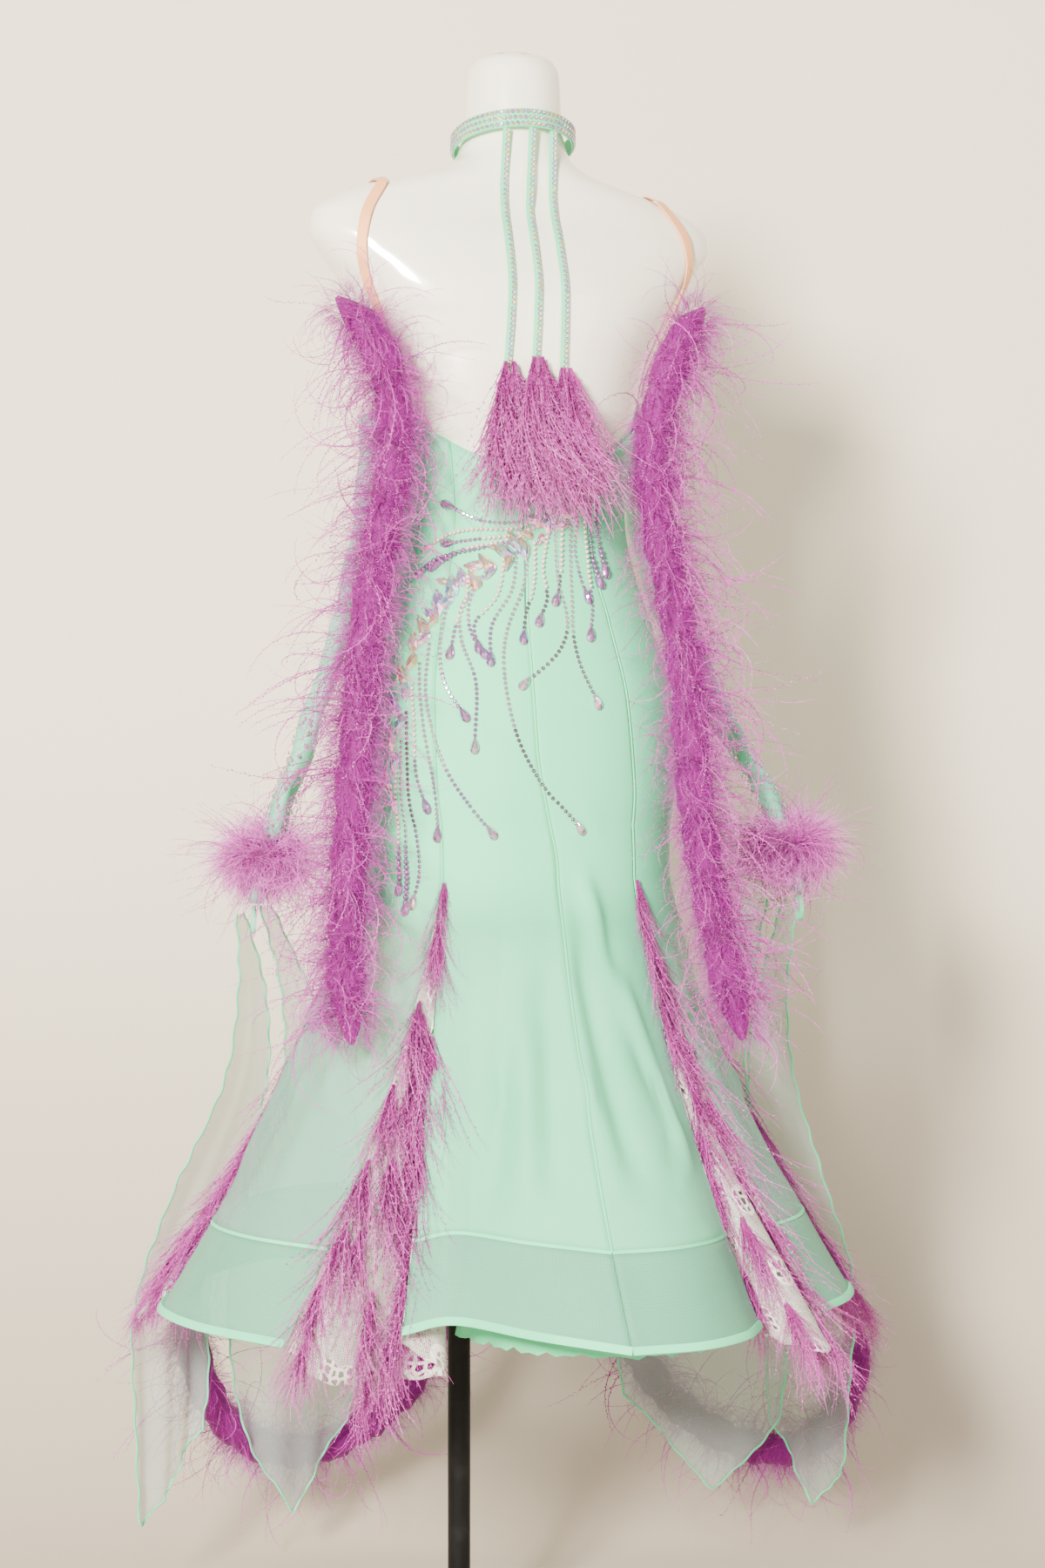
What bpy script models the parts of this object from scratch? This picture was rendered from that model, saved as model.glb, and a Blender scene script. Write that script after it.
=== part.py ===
"""Ballroom dance dress on a limbless dress form and its stand.

Metres, +Z up. The wearer faces +Y, so the back of the dress faces -Y, and the
wearer's left is -X. The origin is on the floor, at the middle of the stand's
foot. The form and the dress are placed round an empty on the form's own axis.

Every piece of cloth is a wall. Its mid surface is worked out from the sections
of the form, the angles of the seams and the plan of the hem, all in tables.
"""

import math

import bmesh
import bpy
from mathutils import Vector

# ---------------------------------------------------------------- sizes

FORM_AXIS = (0.054, -0.020)  # the form's axis, measured from the pole
SEAM_GAP = 0.0003  # between two pieces that are sewn together

# The stand
POLE_RADIUS = 0.012
BASE_RADIUS = 0.200
BASE_HEIGHT = 0.016
SOCKET_RADIUS = 0.024
SOCKET_TOP = 0.075

# The form: height, half width, half depth, middle's y, squareness of the section
FORM_SECTIONS = (
    (0.858, 0.120, 0.082, 0.000, 2.0),
    (0.860, 0.146, 0.102, 0.000, 2.1),
    (0.868, 0.158, 0.112, 0.000, 2.2),
    (0.884, 0.166, 0.118, 0.000, 2.2),
    (0.930, 0.172, 0.122, 0.000, 2.2),
    (1.010, 0.169, 0.120, 0.000, 2.2),
    (1.100, 0.146, 0.105, 0.002, 2.2),
    (1.150, 0.130, 0.095, 0.004, 2.1),
    (1.210, 0.119, 0.088, 0.006, 2.1),
    (1.270, 0.126, 0.095, 0.010, 2.1),
    (1.325, 0.138, 0.108, 0.014, 2.2),
    (1.370, 0.148, 0.111, 0.014, 2.2),
    (1.410, 0.164, 0.104, 0.006, 2.3),
    (1.450, 0.186, 0.094, 0.000, 2.3),
    (1.480, 0.210, 0.082, 0.000, 2.3),
    (1.505, 0.225, 0.070, 0.000, 2.3),
    (1.522, 0.223, 0.061, 0.000, 2.3),
    (1.545, 0.194, 0.054, 0.000, 2.2),
    (1.560, 0.148, 0.053, 0.000, 2.1),
    (1.576, 0.090, 0.054, 0.000, 2.0),
    (1.594, 0.062, 0.053, 0.000, 2.0),
    (1.625, 0.053, 0.050, 0.000, 2.0),
    (1.680, 0.050, 0.048, 0.000, 2.0),
    (1.695, 0.044, 0.042, 0.000, 2.0),
    (1.702, 0.030, 0.028, 0.000, 2.0),
)
FORM_SIDES = 32

# The fitted part of the dress
EASE = 0.0048  # from the form to the middle of the cloth
CLOTH = 0.0014  # thickness of a wall of cloth
HIP_SECTION = 0.884  # height of the form's section that the skirt hangs from
HIP_HEIGHT = 0.830  # where the godets start
SEAM_CHECK = 1.30  # height at which a panel's angles are read for its top edge
BAND_SEAM = 0.80  # share of the skirt's length at which the hem band is sewn on

# Top edge of the bodice: angle from the centre back, height
TOP_EDGE = (
    (0, 1.262),
    (25, 1.266),
    (50, 1.290),
    (75, 1.324),
    (90, 1.342),
    (115, 1.352),
    (145, 1.378),
    (160, 1.384),
    (180, 1.368),
)

# Seams: height, angles of the left back, centre back and right back seams
BACK_SEAMS = (
    (0.800, -39.0, 1.0, 32.0),
    (0.830, -39.0, 1.0, 32.0),
    (0.960, -41.0, -5.0, 29.0),
    (1.140, -44.0, -7.5, 25.0),
    (1.400, -43.0, -8.0, 27.0),
)
FRONT_SEAMS = (-112.0, 93.0)  # angles of the seams between side and front, left and right

# Panels: name, faces across
PANEL_COLUMNS = (
    ("back_left", 5),
    ("back_right", 5),
    ("side_left", 7),
    ("side_right", 7),
    ("front", 12),
)

# Plan of the hem round the form's axis, from the left side of each piece: x, y, height
HEM = {
    "back_left": (
        (-0.178, -0.168, 0.381),
        (-0.130, -0.190, 0.392),
        (-0.070, -0.262, 0.386),
        (0.003, -0.329, 0.379),
    ),
    "back_right": (
        (0.003, -0.329, 0.379),
        (0.075, -0.332, 0.380),
        (0.135, -0.300, 0.380),
        (0.178, -0.241, 0.378),
    ),
    "side_left": (
        (-0.347, 0.126, 0.378),
        (-0.375, 0.030, 0.380),
        (-0.360, -0.072, 0.380),
        (-0.300, -0.176, 0.378),
    ),
    "side_right": (
        (0.277, -0.184, 0.378),
        (0.322, -0.146, 0.380),
        (0.352, -0.098, 0.381),
        (0.368, -0.040, 0.378),
    ),
    "front": (
        (0.350, 0.112, 0.378),
        (0.272, 0.228, 0.381),
        (0.200, 0.300, 0.380),
        (0.095, 0.318, 0.379),
        (0.010, 0.352, 0.380),
        (-0.100, 0.330, 0.379),
        (-0.200, 0.302, 0.381),
        (-0.290, 0.232, 0.378),
    ),
    "godet_rear_left": (
        (-0.300, -0.176, 0.378),
        (-0.268, -0.180, 0.345),
        (-0.222, -0.162, 0.331),
        (-0.172, -0.144, 0.330),
        (-0.128, -0.146, 0.331),
        (-0.140, -0.160, 0.345),
        (-0.172, -0.156, 0.368),
        (-0.178, -0.168, 0.381),
    ),
    "godet_rear_right": (
        (0.178, -0.241, 0.378),
        (0.196, -0.222, 0.362),
        (0.232, -0.262, 0.352),
        (0.262, -0.228, 0.350),
        (0.252, -0.192, 0.358),
        (0.277, -0.184, 0.378),
    ),
    "godet_front_right": (
        (0.368, -0.040, 0.378),
        (0.404, -0.006, 0.352),
        (0.400, 0.048, 0.346),
        (0.354, 0.064, 0.354),
        (0.350, 0.112, 0.378),
    ),
    "godet_front_left": (
        (-0.290, 0.232, 0.378),
        (-0.308, 0.196, 0.354),
        (-0.356, 0.205, 0.346),
        (-0.372, 0.158, 0.352),
        (-0.347, 0.126, 0.378),
    ),
}

# Godets: name, angle of the apex, share of its width with feathers (from, to), gap at a sharp fold
GODETS = (
    ("godet_rear_left", BACK_SEAMS[0][1], 0.06, 0.46, 0.0022),
    ("godet_rear_right", BACK_SEAMS[0][3], 0.24, 0.66, 0.0012),
    ("godet_front_right", FRONT_SEAMS[1], 0.14, 0.50, 0.0012),
    ("godet_front_left", FRONT_SEAMS[0], 0.50, 0.86, 0.0012),
)
GODET_START = 0.08  # share of the skirt's length above which a godet is only its seam
FOLD_START = 0.22  # share of the skirt's length at which a godet starts to fold

# The underskirt is open at the wearer's left: x, y of its hem
UNDERSKIRT_HEM = (
    (-0.097, -0.092),
    (-0.070, -0.186),
    (0.012, -0.256),
    (0.115, -0.250),
    (0.196, -0.176),
    (0.240, -0.035),
    (0.205, 0.137),
    (0.082, 0.222),
    (-0.044, 0.226),
)
UNDERSKIRT_ANGLES = (-16.0, 200.0)
UNDERSKIRT_TOP = 0.848
UNDERSKIRT_HEM_HEIGHT = 0.362
UNDERSKIRT_EASE = 0.0012
UNDERSKIRT_LATE = 1.3  # its flare comes later than the panels' do

# Collar and the three straps that hang from it
COLLAR_HALF_WIDTH = 0.0640
COLLAR_HALF_DEPTH = 0.0610
COLLAR_HEIGHT = 0.019
COLLAR_MIDDLE = 1.612
COLLAR_SLOPE = 0.21  # rise towards the back for each metre of depth
# Back straps: name, x at the collar, x at the end, height of the end
BACK_STRAPS = (
    ("left", -0.027, -0.041, 1.356),
    ("middle", 0.000, -0.011, 1.362),
    ("right", 0.025, 0.020, 1.352),
)
BACK_STRAP_WIDTH = 0.008
BACK_STRAP_LIFT = 0.0032  # from the form to the middle of a strap
TRIM = 0.0012  # thickness of straps and ribbons
TASSEL_END = 1.196
TASSEL_CLEAR = 0.006  # from the cloth to the tassels
# Feather tassels: height below the strap's end as a share, half width, half depth, shift of x
TASSEL_SECTIONS = (
    (0.00, 0.0035, 0.0030, 0.000),
    (0.12, 0.0110, 0.0060, 0.003),
    (0.45, 0.0190, 0.0100, 0.012),
    (0.80, 0.0235, 0.0115, 0.020),
    (1.00, 0.0180, 0.0080, 0.024),
)
TASSEL_SPREAD = {"left": -0.9, "middle": 0.5, "right": 2.0}

# Elastic shoulder straps: height, distance from the middle, +1 in front or -1 at the back
SHOULDER_STRAP_WIDTH = 0.011
SHOULDER_STRAP_LIFT = 0.0034
SHOULDER_WIDEST = 1.505  # height of the form's widest section
SHOULDER_STRAP = (
    (1.345, 0.1395, -1),
    (1.370, 0.1440, -1),
    (1.410, 0.1560, -1),
    (1.450, 0.1740, -1),
    (1.480, 0.1820, -1),
    (1.505, 0.1800, -1),
    (1.522, 0.1740, -1),
    (1.538, 0.1640, -1),
    (1.546, 0.1580, -1),
    (1.552, 0.1540, -1),
    (None, 0.1520, 0),
    (1.552, 0.1530, 1),
    (1.546, 0.1550, 1),
    (1.538, 0.1580, 1),
    (1.522, 0.1600, 1),
    (1.505, 0.1600, 1),
    (1.480, 0.1560, 1),
    (1.450, 0.1450, 1),
    (1.410, 0.1260, 1),
    (1.390, 0.1130, 1),
)

# Sleeves: height, x, y of the middle on the wearer's right, half width, half depth
SLEEVE_RIGHT = (
    (1.315, 0.1545, 0.015, 0.030, 0.0090),
    (1.240, 0.1560, 0.018, 0.034, 0.0110),
    (1.150, 0.1720, 0.010, 0.033, 0.0110),
    (1.060, 0.2080, -0.006, 0.031, 0.0110),
    (0.980, 0.2450, -0.026, 0.029, 0.0110),
    (0.910, 0.2790, -0.044, 0.026, 0.0110),
    (0.860, 0.2980, -0.055, 0.023, 0.0100),
    (0.812, 0.3080, -0.062, 0.014, 0.0070),
)
SLEEVE_LEFT = (
    (1.315, -0.1545, 0.015, 0.030, 0.0090),
    (1.240, -0.1560, 0.018, 0.034, 0.0110),
    (1.150, -0.1680, 0.026, 0.033, 0.0110),
    (1.060, -0.1900, 0.038, 0.031, 0.0110),
    (0.980, -0.2120, 0.054, 0.029, 0.0110),
    (0.910, -0.2330, 0.072, 0.026, 0.0110),
    (0.848, -0.2490, 0.088, 0.023, 0.0100),
    (0.800, -0.2600, 0.096, 0.014, 0.0070),
)
SLEEVE_SIDES = 14
CUFF_THICKNESS = 0.052
LOOP_RADIUS = 0.011
LOOP_STRETCH = 1.3  # its height over its width
LOOP_GAP = 0.0035  # from the sleeve's end to the loop

# Feather boas: x, y, height of the core
BOA_RADIUS = 0.028
BOA_LEFT = (
    (-0.212, -0.056, 1.425),
    (-0.178, -0.082, 1.377),
    (-0.156, -0.076, 1.305),
    (-0.160, -0.077, 1.233),
    (-0.175, -0.078, 1.161),
    (-0.191, -0.082, 1.053),
    (-0.203, -0.088, 0.927),
    (-0.214, -0.098, 0.794),
    (-0.219, -0.110, 0.733),
    (-0.220, -0.135, 0.668),
)
BOA_RIGHT = (
    (0.176, -0.104, 1.428),
    (0.146, -0.113, 1.390),
    (0.120, -0.112, 1.315),
    (0.115, -0.109, 1.260),
    (0.124, -0.107, 1.196),
    (0.148, -0.119, 1.053),
    (0.154, -0.133, 0.909),
    (0.170, -0.149, 0.783),
    (0.184, -0.186, 0.664),
)
# Boas that edge the floats: angle from the centre back, distance from the form's axis, height
GARLAND_LEFT = (
    (-142, 0.452, 0.330),
    (-147, 0.446, 0.220),
    (-155, 0.445, 0.155),
    (-165, 0.440, 0.130),
    (-175, 0.435, 0.150),
    (-184, 0.430, 0.210),
    (-189, 0.425, 0.310),
    (-190, 0.420, 0.400),
)
GARLAND_RIGHT = (
    (104, 0.486, 0.300),
    (106, 0.486, 0.225),
    (111, 0.486, 0.162),
    (119, 0.484, 0.130),
    (129, 0.474, 0.142),
    (138, 0.462, 0.200),
    (144, 0.452, 0.300),
    (146, 0.448, 0.400),
)

# Floats: rows of height, angle and radius of one edge, then height, angle and radius of the other
FLOATS = {
    "float_left_outer": (
        (0.788, -108, 0.294, 0.788, -115, 0.290),
        (0.700, -116, 0.298, 0.700, -128, 0.286),
        (0.600, -120, 0.320, 0.600, -136, 0.304),
        (0.480, -123, 0.384, 0.480, -140, 0.354),
        (0.360, -125, 0.434, 0.360, -141, 0.404),
        (0.240, -127, 0.440, 0.250, -141, 0.408),
        (0.150, -128, 0.440, 0.190, -140, 0.412),
    ),
    "float_left_inner": (
        (0.795, -118, 0.276, 0.795, -124, 0.272),
        (0.700, -131, 0.274, 0.700, -142, 0.268),
        (0.600, -139, 0.294, 0.600, -158, 0.284),
        (0.480, -143, 0.346, 0.480, -168, 0.338),
        (0.360, -144, 0.392, 0.360, -171, 0.388),
        (0.250, -146, 0.400, 0.250, -172, 0.394),
        (0.180, -149, 0.402, 0.170, -170, 0.398),
    ),
    "float_right_outer": (
        (0.800, 84, 0.322, 0.800, 90, 0.318),
        (0.700, 88, 0.318, 0.700, 98, 0.312),
        (0.600, 93, 0.340, 0.600, 106, 0.330),
        (0.480, 97, 0.394, 0.480, 113, 0.386),
        (0.360, 100, 0.451, 0.360, 117, 0.450),
        (0.240, 101, 0.452, 0.240, 118, 0.451),
        (0.160, 102, 0.452, 0.170, 117, 0.450),
    ),
    "float_right_inner": (
        (0.800, 92, 0.304, 0.800, 98, 0.300),
        (0.700, 97, 0.298, 0.700, 110, 0.292),
        (0.600, 104, 0.316, 0.600, 123, 0.306),
        (0.480, 109, 0.370, 0.480, 134, 0.352),
        (0.360, 112, 0.438, 0.360, 140, 0.412),
        (0.250, 113, 0.438, 0.250, 142, 0.412),
        (0.200, 114, 0.436, 0.190, 141, 0.414),
    ),
}
# Float corner: how far it hangs below the two edges, and where across the width
FLOAT_TIP = {
    "float_left_outer": (0.060, 0.15),
    "float_left_inner": (0.105, 0.50),
    "float_right_outer": (0.080, 0.45),
    "float_right_inner": (0.112, 0.45),
}

FEATHER_THICKNESS = 0.006
FEATHER_START = 0.16  # share of the skirt's length at which the bunches start
FEATHER_END = 1.12  # they hang below the hem
FEATHER_LIFT = 0.0065  # from the middle of the lace to the middle of its feathers

# Colours: base colour, roughness, metallic
COLOURS = {
    "form_gloss": ((0.86, 0.82, 0.75), 0.18, 0.0),
    "black_paint": ((0.008, 0.008, 0.008), 0.35, 0.0),
    "mint_cloth": ((0.53, 0.74, 0.61), 0.55, 0.0),
    "mint_organza": ((0.54, 0.62, 0.56), 0.50, 0.0),
    "nude_elastic": ((0.82, 0.61, 0.45), 0.40, 0.0),
    "lace": ((0.65, 0.60, 0.61), 0.70, 0.0),
    "feather": ((0.50, 0.12, 0.40), 0.80, 0.0),
    "chiffon": ((0.36, 0.36, 0.33), 0.50, 0.0),
}


# ---------------------------------------------------------------- helpers


def between(a, b, share):
    return a + (b - a) * share


def smooth(low, high, value):
    share = min(1.0, max(0.0, (value - low) / (high - low)))
    return share * share * (3 - 2 * share)


def look_up(table, key):
    """A row of the table at this key, in straight lines between its rows."""
    if key <= table[0][0]:
        return table[0][1:]
    for low, high in zip(table, table[1:]):
        if key <= high[0]:
            share = (key - low[0]) / (high[0] - low[0])
            return tuple(between(a, b, share) for a, b in zip(low[1:], high[1:]))
    return table[-1][1:]


def through(points, share):
    """A point of the smooth curve through the points, at this share of its length."""
    points = [Vector(p) for p in points]
    spans = [(b - a).length for a, b in zip(points, points[1:])]
    left = share * sum(spans)
    index = 0
    while index < len(spans) - 1 and left > spans[index]:
        left -= spans[index]
        index += 1
    t = min(1.0, left / spans[index])
    a, b = points[index], points[index + 1]
    before = points[index - 1] if index else a * 2 - b
    after = points[index + 2] if index + 2 < len(points) else b * 2 - a
    into = (b - before) / 2
    out = (after - a) / 2
    return (
        a * (2 * t**3 - 3 * t**2 + 1)
        + into * (t**3 - 2 * t**2 + t)
        + b * (3 * t**2 - 2 * t**3)
        + out * (t**3 - t**2)
    )


def form_point(height, angle, ease=0.0):
    """A point round the form, this far outside it, at an angle from the centre back."""
    half_width, half_depth, middle, square = look_up(FORM_SECTIONS, height)
    s, c = math.sin(math.radians(angle)), math.cos(math.radians(angle))
    return Vector(
        (
            (half_width + ease) * math.copysign(abs(s) ** (2 / square), s),
            middle - (half_depth + ease) * math.copysign(abs(c) ** (2 / square), c),
            height,
        )
    )


def form_depth(height, x, ease=0.0):
    """Half depth of the form at this x, this far outside it, and its middle's y."""
    half_width, half_depth, middle, square = look_up(FORM_SECTIONS, height)
    reach = min(1.0, abs(x) / (half_width + ease))
    return (half_depth + ease) * (1 - reach**square) ** (1 / square), middle


def polar(angle, radius, height):
    a = math.radians(angle)
    return Vector((radius * math.sin(a), -radius * math.cos(a), height))


# ---------------------------------------------------------------- objects

part = bpy.data.collections.new("ballroom_dance_dress")
materials = {}


def clear_scene():
    for obj in list(bpy.data.objects):
        bpy.data.objects.remove(obj, do_unlink=True)


def material(name):
    if name not in materials:
        colour, roughness, metallic = COLOURS[name]
        made = bpy.data.materials.new(name)
        made.use_nodes = True
        shader = made.node_tree.nodes["Principled BSDF"]
        shader.inputs["Base Color"].default_value = (*colour, 1)
        shader.inputs["Roughness"].default_value = roughness
        shader.inputs["Metallic"].default_value = metallic
        made.diffuse_color = (*colour, 1)
        materials[name] = made
    return materials[name]


def add(name, data, look, parent):
    data.materials.append(material(look))
    obj = bpy.data.objects.new(name, data)
    obj.parent = parent
    part.objects.link(obj)
    return obj


def grid_mesh(name, rows, round_columns=False, round_rows=False):
    """An open surface through rows of points. The last column, or row, can join the first."""
    bm = bmesh.new()
    made = [[bm.verts.new(p) for p in row] for row in rows]
    for i in range(len(rows) if round_rows else len(rows) - 1):
        here, there = made[i], made[(i + 1) % len(rows)]
        for j in range(len(here) if round_columns else len(here) - 1):
            k = (j + 1) % len(here)
            bm.faces.new((here[j], here[k], there[k], there[j]))
    bmesh.ops.triangulate(bm, faces=bm.faces, quad_method="SHORT_EDGE")
    data = bpy.data.meshes.new(name)
    bm.to_mesh(data)
    bm.free()
    return data


def cloth(name, rows, look, parent, thickness=CLOTH, round_columns=False):
    """A wall of cloth, half its thickness on either side of the surface through the rows."""
    obj = add(name, grid_mesh(name, rows, round_columns), look, parent)
    obj.data.shade_smooth()
    solidify = obj.modifiers.new("thickness", "SOLIDIFY")
    solidify.thickness = thickness
    solidify.offset = 0
    return obj


def solid_loft(name, rings, look, parent):
    """A closed solid through rings of points, with flat ends. The first ring is the lowest."""
    data = grid_mesh(name, rings, round_columns=True)
    bm = bmesh.new()
    bm.from_mesh(data)
    edges = [edge for edge in bm.edges if edge.is_boundary]
    bmesh.ops.holes_fill(bm, edges=edges, sides=0)
    bmesh.ops.triangulate(bm, faces=[f for f in bm.faces if len(f.verts) > 3])
    bmesh.ops.recalc_face_normals(bm, faces=bm.faces)
    bm.to_mesh(data)
    bm.free()
    obj = add(name, data, look, parent)
    data.shade_smooth()
    data.set_sharp_from_angle(angle=math.radians(50))
    return obj


def tube(name, points, radii, look, parent):
    """A round solid along the points, as a curve with a bevel."""
    data = bpy.data.curves.new(name, "CURVE")
    data.dimensions = "3D"
    data.bevel_depth = 1.0
    data.bevel_resolution = 2
    data.use_fill_caps = True
    spline = data.splines.new("POLY")
    spline.points.add(len(points) - 1)
    for slot, point, radius in zip(spline.points, points, radii):
        slot.co = (*point, 1)
        slot.radius = radius
    return add(name, data, look, parent)


# ---------------------------------------------------------------- form and stand


def make_stand():
    profile = (
        (0.000, SOCKET_TOP),
        (SOCKET_RADIUS - 0.002, SOCKET_TOP),
        (SOCKET_RADIUS, SOCKET_TOP - 0.002),
        (SOCKET_RADIUS, 0.030),
        (SOCKET_RADIUS + 0.006, BASE_HEIGHT + 0.002),
        (0.060, BASE_HEIGHT),
        (BASE_RADIUS - 0.004, BASE_HEIGHT - 0.006),
        (BASE_RADIUS, BASE_HEIGHT - 0.010),
        (BASE_RADIUS, 0.0),
        (0.000, 0.0),
    )
    data = bpy.data.meshes.new("stand_base")
    edges = [(i, i + 1) for i in range(len(profile) - 1)]
    data.from_pydata([(x, 0, z) for x, z in profile], edges, [])
    base = add("stand_base", data, "black_paint", None)
    screw = base.modifiers.new("turned", "SCREW")
    screw.steps = screw.render_steps = 40
    screw.use_merge_vertices = True
    screw.merge_threshold = 0.0001

    top = FORM_SECTIONS[0][0] - SEAM_GAP
    bottom = SOCKET_TOP + SEAM_GAP
    bm = bmesh.new()
    bmesh.ops.create_cone(
        bm,
        cap_ends=True,
        segments=24,
        radius1=POLE_RADIUS,
        radius2=POLE_RADIUS,
        depth=top - bottom,
    )
    data = bpy.data.meshes.new("stand_pole")
    bm.to_mesh(data)
    bm.free()
    pole = add("stand_pole", data, "black_paint", None)
    pole.location.z = (top + bottom) / 2
    data.shade_smooth()
    data.set_sharp_from_angle(angle=math.radians(50))


def make_form(parent):
    rings = []
    for row in FORM_SECTIONS:
        turns = [360 * i / FORM_SIDES for i in range(FORM_SIDES)]
        rings.append([form_point(row[0], turn) for turn in turns])
    solid_loft("form_torso", rings, "form_gloss", parent)


# ---------------------------------------------------------------- dress body


def flare(t):
    """How far out a skirt seam has come, as a share, at this share of its length."""
    return 0.35 * t + 0.65 * t**1.6


def hang(top, hem, t, late=1.0):
    """A point of the skirt between a point of the hip line and one of the hem."""
    f = flare(min(1.0, t)) ** late
    return Vector(
        (between(top.x, hem.x, f), between(top.y, hem.y, f), between(top.z, hem.z, t))
    )


def seam_angles(name, height):
    left, middle, right = look_up(BACK_SEAMS, height)
    return {
        "back_left": (left, middle),
        "back_right": (middle, right),
        "side_left": (FRONT_SEAMS[0], left),
        "side_right": (right, FRONT_SEAMS[1]),
        "front": (FRONT_SEAMS[1], 360 + FRONT_SEAMS[0]),
    }[name]


def top_edge(angle):
    turned = abs((angle + 180) % 360 - 180)
    return look_up(TOP_EDGE, turned)[0]


def fitted_point(name, across, down):
    """A point of the fitted part: across the panel, and down from its top edge to the hip."""
    start, end = seam_angles(name, SEAM_CHECK)
    height = between(top_edge(between(start, end, across)), HIP_HEIGHT, down)
    start, end = seam_angles(name, height)
    return form_point(max(height, HIP_SECTION), between(start, end, across), EASE).xy, height


def skirt_point(name, across, t):
    start, end = seam_angles(name, HIP_HEIGHT)
    top = form_point(HIP_SECTION, between(start, end, across), EASE)
    top.z = HIP_HEIGHT
    return hang(top, through(HEM[name], across), t)


def parted(rows, gap):
    """The rows with their two ends drawn in, so that the piece stays clear of its neighbours."""
    for row, inset in zip(rows, gap):
        first = (row[1] - row[0]).normalized() * inset
        last = (row[-2] - row[-1]).normalized() * inset
        row[0] = row[0] + first
        row[-1] = row[-1] + last
    return rows


def make_panel(name, columns, look, parent):
    fitted_rows, skirt_rows = 11, 7
    rows = []
    for i in range(fitted_rows):
        row = []
        for j in range(columns + 1):
            plan, height = fitted_point(name, j / columns, i / fitted_rows)
            row.append(Vector((*plan, height)))
        rows.append(row)
    for i in range(skirt_rows + 1):
        t = (BAND_SEAM - SEAM_GAP) * i / skirt_rows
        rows.append([skirt_point(name, j / columns, t) for j in range(columns + 1)])
    cloth("panel_" + name, parted(rows, [SEAM_GAP] * len(rows)), look, parent)


def make_band(name, columns, parent):
    rows = []
    for i in range(3):
        t = between(BAND_SEAM + 2 * SEAM_GAP, 1, i / 2)
        rows.append([skirt_point(name, j / columns, t) for j in range(columns + 1)])
    cloth("hem_band_" + name, parted(rows, [SEAM_GAP] * 3), "mint_organza", parent)


def godet_point(name, apex, across, t):
    """A godet is flat near its point, and folds more and more towards the hem."""
    hem = through(HEM[name], across)
    straight = Vector(HEM[name][0]).lerp(Vector(HEM[name][-1]), across)
    share = smooth(FOLD_START, 0.9, t)
    folded = Vector((*straight.xy.lerp(hem.xy, share), hem.z))
    return hang(apex, folded, t)


def godet_apex(angle):
    apex = form_point(HIP_SECTION, angle, EASE)
    apex.z = HIP_HEIGHT
    return apex


def make_godet(name, angle, fold_gap, parent):
    columns, steps = 14, 10
    apex = godet_apex(angle)
    rows, gaps = [], []
    for i in range(steps + 1):
        t = between(GODET_START, 1, i / steps)
        rows.append([godet_point(name, apex, j / columns, t) for j in range(columns + 1)])
        gaps.append(0.0010 + fold_gap * smooth(FOLD_START, 0.6, t))
    cloth(name, parted(rows, gaps), "lace", parent, 0.0012)


def make_godet_feathers(name, angle, start, end, parent):
    """The reach of the feather bunches sewn on a godet, down past its hem."""
    columns, steps = 5, 8
    apex = godet_apex(angle)
    rows = []
    for i in range(steps + 1):
        t = between(FEATHER_START, FEATHER_END, i / steps)
        row = []
        for j in range(columns + 1):
            across = between(start, end, j / columns)
            point = godet_point(name, apex, across, t)
            side = godet_point(name, apex, across + 0.02, t) - point
            down = godet_point(name, apex, across, t + 0.02) - point
            out = down.cross(side).normalized()
            row.append(point + out * FEATHER_LIFT)
        rows.append(row)
    cloth(name + "_feathers", rows, "feather", parent, FEATHER_THICKNESS)


def make_underskirt(parent):
    columns, steps = 20, 7
    start, end = UNDERSKIRT_ANGLES
    hem = [(x, y, UNDERSKIRT_HEM_HEIGHT) for x, y in UNDERSKIRT_HEM]
    rows = []
    for i in range(steps + 1):
        row = []
        for j in range(columns + 1):
            across = j / columns
            top = form_point(HIP_SECTION, between(start, end, across), UNDERSKIRT_EASE)
            top.z = UNDERSKIRT_TOP
            row.append(hang(top, through(hem, across), i / steps, UNDERSKIRT_LATE))
        rows.append(row)
    cloth("underskirt", rows, "mint_cloth", parent, 0.0012)


# ---------------------------------------------------------------- collar and straps


def make_collar(parent):
    sides = 28
    rows = []
    for rise in (COLLAR_HEIGHT / 2, -COLLAR_HEIGHT / 2):
        row = []
        for i in range(sides):
            a = 2 * math.pi * i / sides
            x = COLLAR_HALF_WIDTH * math.sin(a)
            y = -COLLAR_HALF_DEPTH * math.cos(a)
            row.append(Vector((x, y, COLLAR_MIDDLE - COLLAR_SLOPE * y + rise)))
        rows.append(row)
    cloth("collar", rows, "mint_cloth", parent, 0.0016, round_columns=True)


def back_strap_line(x_top, x_end, end):
    """The middle of a strap, from the collar's lower edge down over the form's back."""
    reach = (1 - (x_top / COLLAR_HALF_WIDTH) ** 2) ** 0.5
    y = -COLLAR_HALF_DEPTH * reach
    top = COLLAR_MIDDLE - COLLAR_SLOPE * y - COLLAR_HEIGHT / 2 - 2 * SEAM_GAP
    line = []
    steps = 14
    for i in range(steps + 1):
        height = between(top, end, i / steps)
        x = between(x_top, x_end, i / steps)
        depth, middle = form_depth(height, x, BACK_STRAP_LIFT)
        line.append(Vector((x, min(y, middle - depth), height)))
    return line


def make_back_strap(name, x_top, x_end, end, parent):
    across = Vector((BACK_STRAP_WIDTH / 2, 0, 0))
    line = back_strap_line(x_top, x_end, end)
    rows = [(point - across, point + across) for point in line]
    cloth("back_strap_" + name, rows, "mint_cloth", parent, TRIM)


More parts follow.
